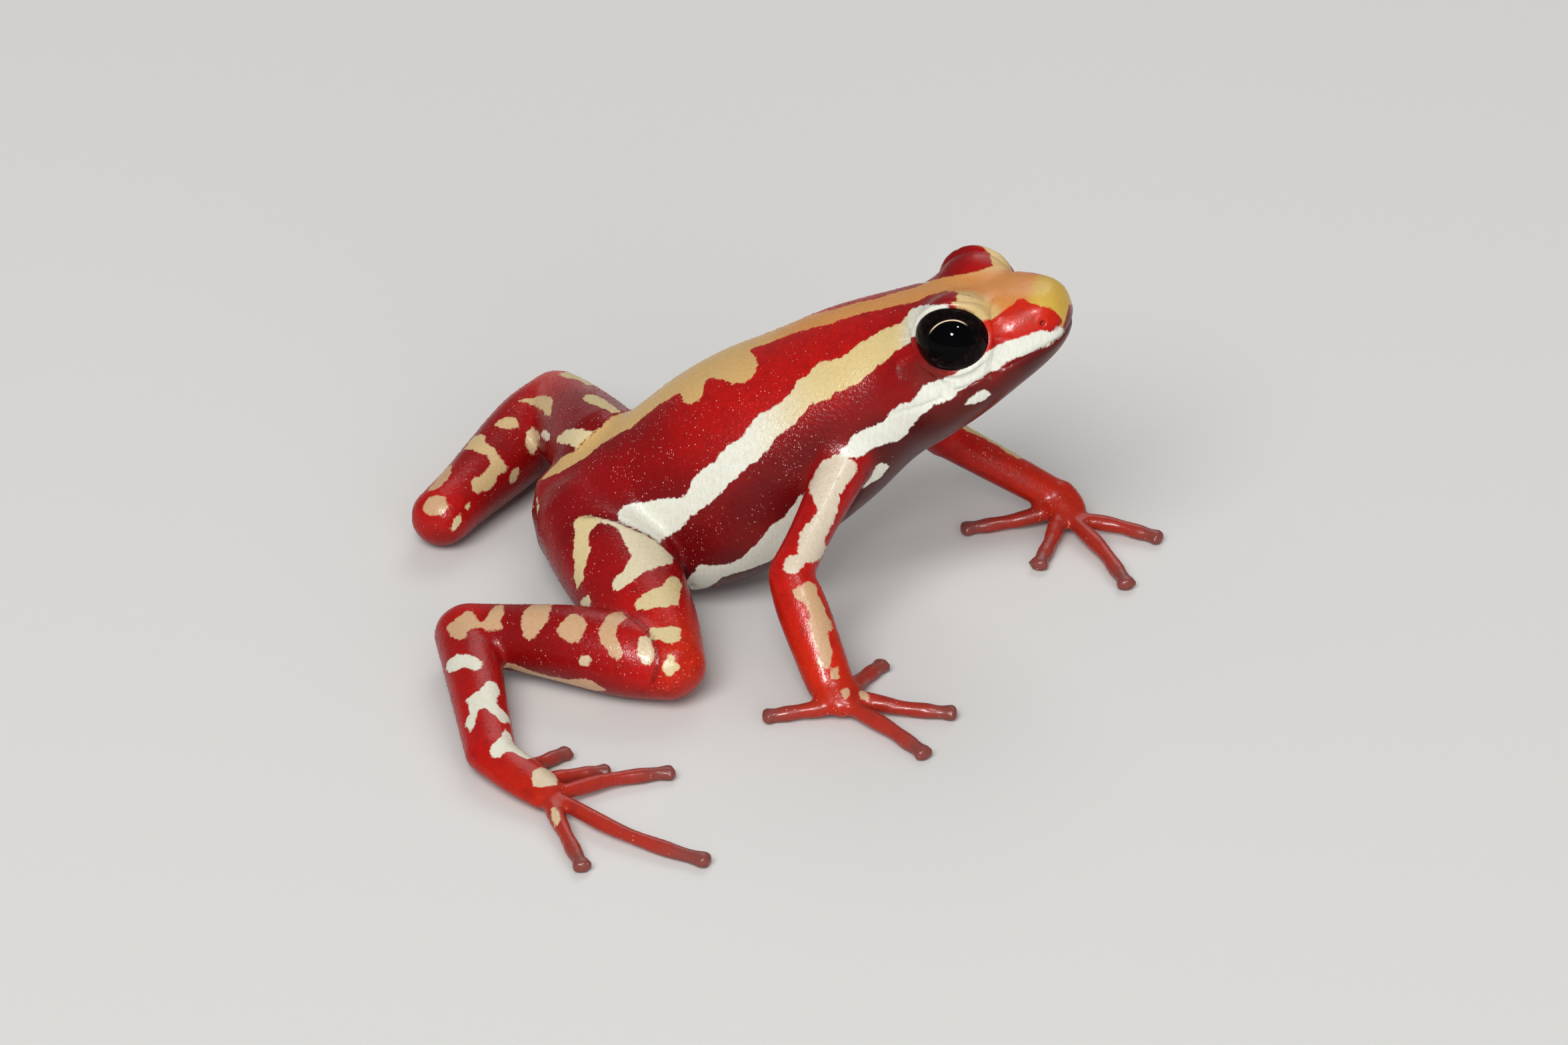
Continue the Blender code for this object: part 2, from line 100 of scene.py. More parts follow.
# Cross sections from snout to vent: top, bottom, side direction, half width,
# power above and below the middle, taper towards the top.
headSections = [
    (3.96, -0.05, -0.9, 0.62, 2.2, 2.2, 0.0),
    (3.8, 0.28, -1.42, 1.12, 2.4, 2.2, 0.0),
    (3.44, 0.58, -1.87, 1.55, 2.7, 2.2, -0.02),
    (2.75, 0.82, -2.38, 2.05, 2.8, 2.2, -0.07),
    (1.7, 1.0, -2.98, 2.65, 2.7, 2.2, -0.12),
    (0.2, 1.1, -3.82, 3.3, 2.5, 2.2, -0.14),
    (-1.4, 1.07, -4.6, 3.7, 2.3, 2.2, -0.12),
    (-3.2, 0.9, -5.5, 3.6, 2.2, 2.2, -0.06),
]
trunkSections = [
    ((-0.6, 11.45), (1.25, 4.1), 10.9, 3.65, 2.2, 2.2, -0.03),
    ((-2.9, 10.3), (-0.75, 2.3), 11.0, 4.0, 2.2, 2.2, -0.05),
    ((-4.9, 9.35), (-2.85, 0.9), 11.1, 4.25, 2.2, 2.3, -0.08),
    ((-6.7, 8.2), (-5.3, 0.1), 11.15, 4.1, 2.2, 2.5, -0.1),
    ((-8.5, 6.7), (-7.6, -0.2), 11.2, 3.5, 2.2, 2.5, -0.1),
    ((-10.3, 5.25), (-9.9, -0.2), 11.25, 2.9, 2.2, 2.4, -0.08),
    ((-11.6, 4.35), (-11.4, 0.0), 11.3, 2.2, 2.1, 2.2, 0.0),
    ((-12.3, 3.75), (-12.25, 1.1), 11.3, 1.3, 2.0, 2.0, 0.0),
]
tail = Vector((-12.55, 11.3, 2.4))

joints = {
    "right": {
        "shoulder": (0.3, 8.3, 7.2), "elbow": (-2.2, 3.5, 4.1), "wrist": (-0.63, 0.6, 0.9),
        "palm": (0.05, -0.3, 0.5), "hip": (-9.98, 9.65, 3.0), "knee": (-6.8, 0.9, 1.5),
        "heel": (-14.9, 3.5, 1.45), "ankle": (-13.6, -4.55, 0.87), "sole": (-11.3, -6.95, 0.55),
    },
    "left": {
        "shoulder": (0.7, 13.6, 7.2), "elbow": (4.1, 15.9, 3.35), "wrist": (8.6, 15.2, 0.95),
        "palm": (9.2, 14.2, 0.5), "hip": (-9.5, 12.85, 4.1), "knee": (-11.8, 20.2, 2.55),
        "heel": (-16.28, 12.95, 1.26), "ankle": (-14.9, 18.0, 0.8), "sole": (-13.4, 20.6, 0.55),
    },
}
# where each finger and toe ends on the floor, inner one first, and its bow to the left
fingers = {
    "right": [(1.38, 3.1, 0.1), (4.05, -0.45, -0.1), (2.92, -3.4, 0.1), (-3.05, -0.7, 0.0)],
    "left": [(4.95, 13.8, 0.0), (7.8, 10.95, 0.05), (11.25, 9.4, 0.15), (12.65, 13.1, 0.15)],
}
toes = {
    "right": [(-10.8, -3.4, 0.15), (-9.25, -4.7, 0.15), (-6.8, -4.8, 0.3), (-5.4, -10.95, -0.35),
              (-9.97, -11.35, 0.0)],
    "left": [(-11.6, 19.8, -0.1), (-10.3, 20.6, -0.1), (-8.6, 21.4, 0.0), (-7.6, 23.3, 0.2),
             (-12.2, 24.2, 0.1)],
}
# how far back from palm to wrist, or from sole to ankle, each digit starts
backs = {"Finger": (0.4, 0.5, 0.0, 0.0), "Toe": (0.55, 0.3, 0.0, 0.0, 0.1)}
# half thickness across and up, at even steps along each segment
flesh = {
    "upperArm": [(1.25, 1.25), (0.98, 1.0), (0.82, 0.85), (0.88, 0.88)],
    "rightForearm": [(0.88, 0.88), (1.02, 0.98), (1.0, 0.9), (0.95, 0.78)],
    "leftForearm": [(0.88, 0.8), (0.9, 0.75), (0.85, 0.7), (0.82, 0.66)],
    "palm": [(0.88, 0.74), (0.95, 0.6), (0.78, 0.46)],
    "rightThigh": [(2.4, 2.1), (2.4, 1.95), (1.98, 1.7), (1.4, 1.35)],
    "leftThigh": [(1.9, 2.0), (2.0, 1.85), (1.75, 1.6), (1.4, 1.35)],
    "shank": [(1.35, 1.32), (1.6, 1.62), (1.52, 1.52), (1.3, 1.3), (1.22, 1.2)],
    "tarsus": [(1.22, 1.2), (1.14, 1.0), (1.04, 0.85), (0.98, 0.75)],
    "sole": [(0.92, 0.72), (0.98, 0.58), (0.8, 0.46)],
    "finger": [(0.44, 0.4), (0.38, 0.36), (0.32, 0.31), (0.36, 0.33), (0.3, 0.28), (0.34, 0.3),
               (0.29, 0.27), (0.43, 0.29)],
    "toe": [(0.44, 0.38), (0.34, 0.33), (0.3, 0.29), (0.34, 0.31), (0.28, 0.27), (0.33, 0.29),
            (0.27, 0.26), (0.42, 0.28)],
}
calfBow = {"right": 0.3, "left": -0.15}
digit = {"height": 0.24, "arch": 0.16, "fingerRoot": 0.35, "toeRoot": 0.3}
# a segment's rounded end: its swell and its tip in half thicknesses, and its rings' angles
limbEnd = {"swell": 0.85, "tip": 0.87, "angles": (0.25, 0.5, 0.8, 1.15, 1.5707)}

skin = {
    "voxel": 0.14,  # mm, the skin's mesh size before the face is refined
    "bodyRings": 150,
    "bodySides": 96,
    "limbRings": 40,
    "limbSides": 40,
    "digitSides": 20,
    "lidRings": 32,
    "lidSides": 48,
    "smoothing": 8,
    "smoothSteps": (0.5, -0.52),  # in and out again, so that nothing shrinks
    "creaseRounds": 9,  # how far the folds between two segments are filled
    "creaseFill": 0.5,
    "creaseLeast": 0.004,  # mm, shallower hollows are filled more gently
    "blendRounds": 60,
    "blendFill": 0.8,
    "blendRise": 2.5,  # how steeply a blend sets in from its edge
    "faceRounds": 3,
    "faceFill": 0.5,
}
# where the forms flow into each other: centre, reach in mm
blends = [
    ((-10.2, 8.6, 4.9), 2.4), ((-11.4, 9.3, 3.6), 2.2), ((-11.4, 13.0, 3.4), 2.6),
    ((-9.3, 13.6, 5.2), 2.4), ((-12.2, 11.3, 3.2), 2.2), ((0.1, 7.6, 7.8), 1.5),
    ((0.5, 14.3, 7.8), 1.6),
]
# the same round each lid: along, across, up from the head's centre, then reach
lidBlends = [((1.3, 1.3, 1.0), 1.5), ((0.0, 0.75, 1.2), 1.5), ((-1.5, 1.4, 1.1), 1.4)]


def spline(values, share):
    steps = len(values) - 1
    place = min(max(share, 0.0), 1.0) * steps
    i = min(int(place), steps - 1)
    t = place - i
    before, a, b, after = (values[min(max(j, 0), steps)] for j in (i - 1, i, i + 1, i + 2))
    return 0.5 * (2 * a + (b - before) * t + (2 * before - 5 * a + 4 * b - after) * t * t
                  + (3 * a - before - 3 * b + after) * t**3)


def superCurve(value, power):
    return math.copysign(abs(value) ** (2 / power), value)


def bodySections():
    made = []
    for along, top, bottom, width, topPower, bottomPower, taper in headSections:
        made.append((inHead(along, 0, top), inHead(along, 0, bottom), leftward.copy(),
                     width, topPower, bottomPower, taper))
    for top, bottom, middle, width, topPower, bottomPower, taper in trunkSections:
        made.append((Vector((top[0], middle, top[1])), Vector((bottom[0], middle, bottom[1])),
                     Vector((0, 1, 0)), width, topPower, bottomPower, taper))
    return made


bodyColumns = [list(c) for c in zip(*bodySections())]


def bodyRing(share, sideCount):
    top, bottom, side, width, topPower, bottomPower, taper = (
        spline(c, share) for c in bodyColumns)
    centre = (top + bottom) / 2
    rise = (top - bottom) / 2
    side = side.normalized()
    ring = []
    for i in range(sideCount):
        angle = 2 * math.pi * i / sideCount
        power = topPower if math.cos(angle) > 0 else bottomPower
        lift = superCurve(math.cos(angle), power)
        across = superCurve(math.sin(angle), power) * width * (1 + taper * lift)
        ring.append(centre + side * across + rise * lift)
    return ring


def limbRings(path, thickness, ringCount, sideCount):
    path = [Vector(p) for p in path]
    sizes = [Vector(t) for t in thickness]
    rings = []
    ends = []
    for k in range(ringCount):
        share = k / (ringCount - 1)
        centre = spline(path, share)
        along = (spline(path, share + 0.02) - spline(path, share - 0.02)).normalized()
        across = along.cross(Vector((0, 0, 1))).normalized()
        over = across.cross(along)
        wide, tall = spline(sizes, share)
        steps = [(0.0, 1.0)]
        if k == 0:
            steps = [(-limbEnd["swell"] * math.cos(b), math.sin(b)) for b in limbEnd["angles"]]
            ends.append(centre - along * limbEnd["tip"] * tall)
        if k == ringCount - 1:
            steps = [(limbEnd["swell"] * math.cos(b), math.sin(b)) for b in limbEnd["angles"][::-1]]
            ends.append(centre + along * limbEnd["tip"] * tall)
        for offset, shrink in steps:
            ring = []
            for i in range(sideCount):
                angle = 2 * math.pi * i / sideCount
                ring.append(centre + along * offset * tall
                            + across * math.sin(angle) * wide * shrink
                            + over * math.cos(angle) * tall * shrink)
            rings.append(ring)
    return rings, ends


def ballRings(centre, axes, radii, ringCount, sideCount):
    rings = []
    for k in range(1, ringCount):
        b = math.pi * k / ringCount
        rings.append([centre + axes[0] * radii[0] * math.cos(b)
                      + axes[1] * radii[1] * math.sin(b) * math.sin(2 * math.pi * i / sideCount)
                      + axes[2] * radii[2] * math.sin(b) * math.cos(2 * math.pi * i / sideCount)
                      for i in range(sideCount)])
    return rings, [centre + axes[0] * radii[0], centre - axes[0] * radii[0]]


def digitPath(palm, tip, root):
    away = Vector((tip[0] - palm.x, tip[1] - palm.y, 0)).normalized()
    base = palm + away * root
    end = Vector((tip[0], tip[1], digit["height"]))
    along = (end - base).normalized()
    sideways = Vector((0, 0, 1)).cross(along) * tip[2]
    middle = base.lerp(end, 0.45) + sideways
    middle.z = digit["height"] + digit["arch"]
    late = base.lerp(end, 0.8) + sideways * 0.6
    late.z = digit["height"] + digit["arch"] * 0.3
    return [palm, base, middle, late, end]


# every form of the skin: its name, rings and two end points
forms = {}
rings = [bodyRing(i / (skin["bodyRings"] - 1), skin["bodySides"]) for i in range(skin["bodyRings"])]
forms["body"] = (rings, [inHead(head["nose"][0], 0, head["nose"][1]), tail])
for side, sign in sides.items():
    j = {name: Vector(place) for name, place in joints[side].items()}
    forms[side + "Lid"] = ballRings(onSide(head["lid"], sign), (forward, leftward, upward),
                                    head["lidSize"][side], skin["lidRings"], skin["lidSides"])
    calf = j["knee"].lerp(j["heel"], 0.5) + Vector((0, 0, calfBow[side]))
    segments = {
        "UpperArm": ([j["shoulder"], j["elbow"]], flesh["upperArm"]),
        "Forearm": ([j["elbow"], j["wrist"]], flesh[side + "Forearm"]),
        "Palm": ([j["wrist"], j["palm"]], flesh["palm"]),
        "Thigh": ([j["hip"], j["knee"]], flesh[side + "Thigh"]),
        "Shank": ([j["knee"], calf, j["heel"]], flesh["shank"]),
        "Tarsus": ([j["heel"], j["ankle"]], flesh["tarsus"]),
        "Sole": ([j["ankle"], j["sole"]], flesh["sole"]),
    }
    for i, tip in enumerate(fingers[side]):
        start = j["palm"].lerp(j["wrist"], backs["Finger"][i])
        segments["Finger%d" % (i + 1)] = (
            digitPath(start, tip, digit["fingerRoot"]), flesh["finger"])
    for i, tip in enumerate(toes[side]):
        start = j["sole"].lerp(j["ankle"], backs["Toe"][i])
        segments["Toe%d" % (i + 1)] = (digitPath(start, tip, digit["toeRoot"]), flesh["toe"])
    for name, (path, thickness) in segments.items():
        small = "Finger" in name or "Toe" in name
        forms[side + name] = limbRings(path, thickness, skin["limbRings"],
                                       skin["digitSides" if small else "limbSides"])


def addLoft(shell, rings, ends):
    loops = [[shell.verts.new(p) for p in ring] for ring in rings]
    count = len(loops[0])
    faces = []
    for one, two in zip(loops, loops[1:]):
        for i in range(count):
            k = (i + 1) % count
            faces.append(shell.faces.new((one[i], one[k], two[k], two[i])))
    for point, loop in zip(ends, (loops[0], loops[-1])):
        tip = shell.verts.new(point)
        for i in range(count):
            faces.append(shell.faces.new((loop[i], loop[(i + 1) % count], tip)))
    bmesh.ops.recalc_face_normals(shell, faces=faces)


def addObject(name, data):
    made = bpy.data.objects.new(name, data)
    bpy.context.scene.collection.objects.link(made)
    return made


def writeValues(mesh, values):
    for name, numbers in values.items():
        attribute = mesh.attributes.new(name, "FLOAT", "POINT")
        attribute.data.foreach_set("value", numbers.astype(np.float32))


def nearestTree(points):
    tree = KDTree(len(points))
    for i, p in enumerate(points):
        tree.insert(p, i)
    tree.balance()
    return tree


def dots(a, b):
    return np.einsum("ij,ij->i", a, b)


def distance(points, place):
    return np.linalg.norm(points - np.array(place), axis=1)


def swell(value, middle, width):
    return np.exp(-((value - middle) / width) ** 2)


def meshArrays(mesh):
    co = np.zeros(len(mesh.vertices) * 3)
    mesh.vertices.foreach_get("co", co)
    edges = np.zeros(len(mesh.edges) * 2, np.int64)
    mesh.edges.foreach_get("vertices", edges)
    return co.reshape(-1, 3), edges.reshape(-1, 2)


def neighbourMean(values, edges, count):
    a, b = edges[:, 0], edges[:, 1]
    degree = np.bincount(a, minlength=count) + np.bincount(b, minlength=count)
    columns = values.reshape(count, -1)
    made = np.zeros_like(columns)
    for c in range(columns.shape[1]):
        made[:, c] = (np.bincount(a, columns[b, c], count)
                      + np.bincount(b, columns[a, c], count)) / degree
    return made.reshape(values.shape)


def vertexNormals(mesh, co):
    mesh.vertices.foreach_set("co", co.ravel())
    mesh.update()
    normals = np.zeros(len(co) * 3)
    mesh.vertex_normals.foreach_get("vector", normals)
    return normals.reshape(-1, 3)


# One closed skin round all the forms.
shell = bmesh.new()
for rings, ends in forms.values():
    addLoft(shell, rings, ends)
skinMesh = bpy.data.meshes.new("skin")
shell.to_mesh(skinMesh)
shell.free()
skinObject = addObject("skin", skinMesh)
remesh = skinObject.modifiers.new("remesh", "REMESH")
remesh.mode = "VOXEL"
remesh.voxel_size = skin["voxel"]
graph = bpy.context.evaluated_depsgraph_get()
skinMesh = bpy.data.meshes.new_from_object(skinObject.evaluated_get(graph))
skinObject.modifiers.clear()
skinObject.data = skinMesh
print("skin remeshed:", len(skinMesh.vertices), "points")

# The face is refined where lids, lips and nostrils need it.
face = {
    "reach": 7,  # mm from the head's centre that the face takes up
    "fineLips": 0.4,  # mm round the lips, eyes and nostrils where the mesh is refined
    "fineEye": 2.0,
    "fineNostril": 0.5,
    "apertureTilt": 21,  # degrees the eye opening looks up
    "apertureTurn": {"left": 2, "right": 8},  # degrees it looks ahead
    "apertureWide": 80,  # its half angles along and up
    "apertureTall": 57,
    "lidThickness": 0.1,
    "lidRidge": 0.07,
    "ridgePlace": (1.1, 0.07),  # where and how wide, as shares of the opening
    "foldDepth": 0.06,
    "foldPlace": (1.3, 0.06),
    "behindBall": 0.22,  # how far inside the eyeball the skin ends
    "rimReach": 1.62,  # beyond this the skin no longer counts as the lid's edge
    "orbit": 0.9,  # how fast the skin may stand away from the eyeball outside the lid
    "lipDepth": 0.09,
    "lipWidth": 0.07,
    "lipSwell": (0.03, 0.02),  # above and below the groove
    "lipPlace": (0.3, 0.16),  # how far from the groove, and how wide
    "lipEnd": (-1.6, -3.6),  # the groove of the mouth fades out between these
    "nostrilRadius": 0.1,
    "nostrilDepth": 0.13,
    "nostrilBrim": (0.02, 0.22, 0.08),  # height, distance, width
    "eardrum": (-1.9, 3.39, -0.57),  # along, across, up from the head's centre
    "eardrumRadius": 0.52,
    "eardrumDepth": 0.05,
    "eardrumEdge": 0.08,
    "eardrumRing": (0.03, 0.1),  # height, width
    "cheek": np.array((-1.0, -3.35, -1.25)),
    "cheekReach": 1.3,
}


def headCoordinates(co):
    away = co - np.array(head["centre"])
    return np.stack([away @ np.array(a) for a in (forward, leftward, upward)], 1)


def mouthHeight(along):
    points = [Vector(p) for p in head["mouth"]]
    table = np.array([spline(points, i / 60) for i in range(61)])[::-1]
    return np.interp(along, table[:, 0], table[:, 1])


def smoothStep(low, high, value):
    t = np.clip((value - low) / (high - low), 0, 1)
    return t * t * (3 - 2 * t)


def nearFace(co):
    local = headCoordinates(co)
    along, high = local[:, 0], local[:, 2]
    lips = (abs(high - mouthHeight(along)) < face["fineLips"]) & (along > face["lipEnd"][1])
    close = lips & (along < 5) & (np.linalg.norm(local, axis=1) < face["reach"])
    for sign in sides.values():
        close |= distance(co, onSide(head["eye"], sign)) < face["fineEye"]
        close |= distance(co, onSide(head["nostril"], sign)) < face["fineNostril"]
    return close


co, edges = meshArrays(skinMesh)
for _ in range(skin["smoothing"]):
    for weight in skin["smoothSteps"]:
        co += weight * (neighbourMean(co, edges, len(co)) - co)
for _ in range(skin["creaseRounds"]):
    normals = vertexNormals(skinMesh, co)
    pull = neighbourMean(co, edges, len(co)) - co
    hollow = np.clip(dots(pull, normals) / skin["creaseLeast"], 0, 1)
    co += skin["creaseFill"] * hollow[:, None] * pull
reach = [1 - distance(co, place) / radius for place, radius in blends]
for place, radius in lidBlends:
    for sign in sides.values():
        reach.append(1 - distance(co, onSide(place, sign)) / radius)
blended = np.nonzero(np.max(reach, axis=0) > 0)[0]
amount = np.clip(np.max(reach, axis=0)[blended] * skin["blendRise"], 0, 1)[:, None]
for _ in range(skin["blendRounds"]):
    normals = vertexNormals(skinMesh, co)
    pull = (neighbourMean(co, edges, len(co)) - co)[blended]
    hollow = dots(pull, normals[blended])[:, None] > 0
    co[blended] += skin["blendFill"] * amount * hollow * pull
skinMesh.vertices.foreach_set("co", co.ravel())
shell = bmesh.new()
shell.from_mesh(skinMesh)
shell.verts.ensure_lookup_table()
chosen = nearFace(co)
picked = [e for e in shell.edges if chosen[e.verts[0].index] and chosen[e.verts[1].index]]
bmesh.ops.subdivide_edges(shell, edges=picked, cuts=1, use_grid_fill=True, smooth=0.0)
bmesh.ops.triangulate(shell, faces=[f for f in shell.faces if len(f.verts) > 4])
shell.to_mesh(skinMesh)
shell.free()
co, edges = meshArrays(skinMesh)
count = len(co)
near = nearFace(co)
for _ in range(skin["faceRounds"]):
    co[near] += skin["faceFill"] * (neighbourMean(co, edges, count) - co)[near]
print("face refined:", count, "points")


def eyeAxes(sign, tilt, turn):
    # outwards from an eye, then ahead and up round it
    tilt, turn = math.radians(tilt), math.radians(turn)
    outward = leftward * sign * math.cos(turn) + forward * math.sin(turn)
    axis = (outward * math.cos(tilt) + upward * math.sin(tilt)).normalized()
    ahead = (forward - axis * forward.dot(axis)).normalized()
    over = (upward - axis * upward.dot(axis)).normalized()
    return axis, ahead, over


def eyePlace(side, co):
    axes = eyeAxes(sides[side], face["apertureTilt"], face["apertureTurn"][side])
    axis, ahead, over = (np.array(a) for a in axes)
    away = co - np.array(onSide(head["eye"], sides[side]))
    reach = np.linalg.norm(away, axis=1)
    unit = away / reach[:, None]
    polar = np.degrees(np.arccos(np.clip(unit @ axis, -1, 1)))
    turn = np.arctan2(unit @ over, unit @ ahead)
    limit = 1 / np.sqrt((np.cos(turn) / face["apertureWide"]) ** 2
                        + (np.sin(turn) / face["apertureTall"]) ** 2)
    return unit, reach, polar / limit


# Lids, lips, nostrils and the floor flats are sculpted into the skin.
rim = np.full(count, 9.0)  # how far round the eye a point lies, 1 at the lid's edge
for side, sign in sides.items():
    centre = np.array(onSide(head["eye"], sign))
    unit, reach, place = eyePlace(side, co)
    close = (reach < 2.3) & (place < 1.9)
    ridge = face["lidRidge"] * swell(place, *face["ridgePlace"])
    fold = face["foldDepth"] * swell(place, *face["foldPlace"])
    least = head["eyeRadius"] + face["lidThickness"] * (1 - smoothStep(1.25, 1.7, place))
    most = head["eyeRadius"] + face["lidThickness"] + face["orbit"] * smoothStep(1.0, 1.75, place)
    outer = np.where(place < 1.5, np.maximum(reach, least), reach)
    outer = np.where(place < 1.75, np.minimum(outer, most), outer) + ridge - fold
    inner = np.minimum(reach, head["eyeRadius"] - face["behindBall"])
    outside = smoothStep(0.95, 1.05, place)
    made = centre + unit * (inner * (1 - outside) + outer * outside)[:, None]
    co[close] = made[close]
    beyond = np.clip((reach[close] - face["rimReach"]) * 3, 0, 1)
    rim[close] = np.minimum(rim[close], place[close] + beyond)

local = headCoordinates(co)
normals = vertexNormals(skinMesh, co)
gap = local[:, 2] - mouthHeight(local[:, 0])
onFace = (np.linalg.norm(local, axis=1) < face["reach"]) & (local[:, 0] < 4.9)
fade = smoothStep(face["lipEnd"][1], face["lipEnd"][0], local[:, 0]) * onFace
groove = face["lipDepth"] * swell(gap, 0, face["lipWidth"])
lipAway, lipWide = face["lipPlace"]
lip = (face["lipSwell"][0] * swell(gap, lipAway, lipWide)
       + face["lipSwell"][1] * swell(gap, -lipAway, lipWide))
co += normals * ((lip - groove) * fade)[:, None]
# painted shade in the nostril pits, later joined with the creases' painted shade
nostrilShade = np.zeros(count)
drumTint = np.zeros(count)
for sign in sides.values():
    apart = distance(co, onSide(head["nostril"], sign))
    pit = np.exp(-(apart / face["nostrilRadius"]) ** 4)
    brim = face["nostrilBrim"][0] * swell(apart, *face["nostrilBrim"][1:])
    nostrilShade = np.maximum(nostrilShade, pit)
    apart = distance(co, onSide(face["eardrum"], sign)) - face["eardrumRadius"]
    drum = smoothStep(face["eardrumEdge"], -face["eardrumEdge"], apart)
    ring = face["eardrumRing"][0] * swell(apart, face["eardrumEdge"], face["eardrumRing"][1])
    drumTint = np.maximum(drumTint, drum)
    lift = brim + ring - pit * face["nostrilDepth"] - drum * face["eardrumDepth"]
    co += normals * lift[:, None]
co[:, 2] = np.maximum(co[:, 2], 0)
skinMesh.vertices.foreach_set("co", co.ravel())
skinMesh.update()

# Which form each point of the skin belongs to, and where on it.
owners = list(forms)
samples = []
sampleOwner = []
for number, (rings, _) in enumerate(forms.values()):
    points = np.array([p for ring in rings for p in ring])
    samples.append(points)
    sampleOwner.append(np.full(len(points), number))
samples = np.concatenate(samples)
sampleOwner = np.concatenate(sampleOwner)
tree = nearestTree(samples)
owner = np.array([sampleOwner[tree.find(p)[1]] for p in co])
ownerName = np.array(owners)[owner]

# The body's own map: millimetres along it, and round it from the midline of the back.
bodyGrid = np.array(forms["body"][0])
steps = np.linalg.norm(np.diff(bodyGrid, axis=1, append=bodyGrid[:, :1]), axis=2)
sideCount = bodyGrid.shape[1]
half = sideCount // 2
arcs = np.zeros(bodyGrid.shape[:2])
arcs[:, 1:half + 1] = np.cumsum(steps[:, :half], axis=1)
arcs[:, half + 1:] = -np.cumsum(steps[:, ::-1][:, :half - 1], axis=1)[:, ::-1]
middle = bodyGrid.mean(1)
lengths = np.concatenate([[0], np.cumsum(np.linalg.norm(np.diff(middle, axis=0), axis=1))])
bodyTree = nearestTree(bodyGrid.reshape(-1, 3))


def bodyPlace(points):
    index = np.array([bodyTree.find(tuple(p))[1] for p in points])
    row, column = index // sideCount, index % sideCount
    here = bodyGrid[row, column]
    up, down = np.minimum(row + 1, len(bodyGrid) - 1), np.maximum(row - 1, 0)
    along = (bodyGrid[up, column] - bodyGrid[down, column]) / (up - down)[:, None]
    sideways = (bodyGrid[row, (column + 1) % sideCount] - bodyGrid[row, column - 1]) / 2
    away = points - here
    stepAlong = dots(away, along) / dots(along, along)
    stepRound = dots(away, sideways) / dots(sideways, sideways)
    size = (lengths[up] - lengths[down]) / (up - down)
    width = np.linalg.norm(sideways, axis=1)
    return (lengths[row] + np.clip(stepAlong, -1.5, 1.5) * size,
            arcs[row, column] + np.clip(stepRound, -1.5, 1.5) * width)


bodyGap = np.array([bodyTree.find(p)[2] for p in co])
bodyLength, bodyArc = bodyPlace(co)
print("skin mapped")

# The camera, which the markings are placed by too.
view = {
    "size": (2352, 1568),  # the photograph's
    "lens": 157.37,
    "sensor": 36.0,
    "target": Vector((-2.43, 9.0, 3.3)),
    "distance": 272.0,
    "down": 30,  # degrees
}
lookDown = math.radians(view["down"])
lookAlong = Vector((0, math.cos(lookDown), -math.sin(lookDown)))
lookUp = Vector((0, math.sin(lookDown), math.cos(lookDown)))
lookRight = Vector((1, 0, 0))
eyePoint = view["target"] - lookAlong * view["distance"]
focal = view["lens"] / view["sensor"] * view["size"][0]


def pixelRay(x, y):
    middleX, middleY = view["size"][0] / 2, view["size"][1] / 2
    return (lookAlong * focal + lookRight * (x - middleX) - lookUp * (y - middleY)).normalized()


away = co - np.array(eyePoint)
depth = away @ np.array(lookAlong)
screen = np.stack([view["size"][0] / 2 + focal * (away @ np.array(lookRight)) / depth,
                   view["size"][1] / 2 - focal * (away @ np.array(lookUp)) / depth], 1)
normals = vertexNormals(skinMesh, co)
facing = -(normals @ np.array(lookAlong)) > 0.02
trees = {}


def castTree(names):
    # the whole closed forms, so that a ray never passes through where another form hides them
    key = tuple(sorted(names))
    if key not in trees:
        points = []
        faces = []
        for name in key:
            rings = forms[name][0]
            start = len(points)
            around = len(rings[0])
            points += [tuple(p) for ring in rings for p in ring]
            for r in range(len(rings) - 1):
                for i in range(around):
                    k = (i + 1) % around
                    a, b = start + r * around, start + (r + 1) * around
                    faces.append((a + i, a + k, b + k, b + i))
        trees[key] = (BVHTree.FromPolygons(points, faces), np.isin(ownerName, key))
    return trees[key]


def surfacePoints(pixels, names):
    tree, inside = castTree(names)
    made = []
    pool = np.nonzero(inside & facing)[0]
    for x, y in pixels:
        hit = tree.ray_cast(eyePoint, pixelRay(x, y))
        if hit[0] is not None:
            made.append(tuple(hit[0]))
        else:  # just outside the outline: the nearest point of the edge
            gaps = np.linalg.norm(screen[pool] - (x, y), axis=1)
            made.append(tuple(co[pool[gaps.argmin()]]))
    return np.array(made)


def insideDepth(points, outline):
    best = np.full(len(points), 1e9)
    inside = np.zeros(len(points), bool)
    for a, b in zip(outline, np.roll(outline, -1, axis=0)):
        line = b - a
        away = points - a
        t = np.clip(away @ line / max(line @ line, 1e-12), 0, 1)
        best = np.minimum(best, np.linalg.norm(away - t[:, None] * line, axis=1))
        crosses = (a[1] > points[:, 1]) != (b[1] > points[:, 1])
        if crosses.any():
            x = a[0] + (points[:, 1] - a[1]) * line[0] / (line[1] if line[1] else 1e-12)
            inside ^= crosses & (points[:, 0] < x)
    return np.where(inside, best, -best)
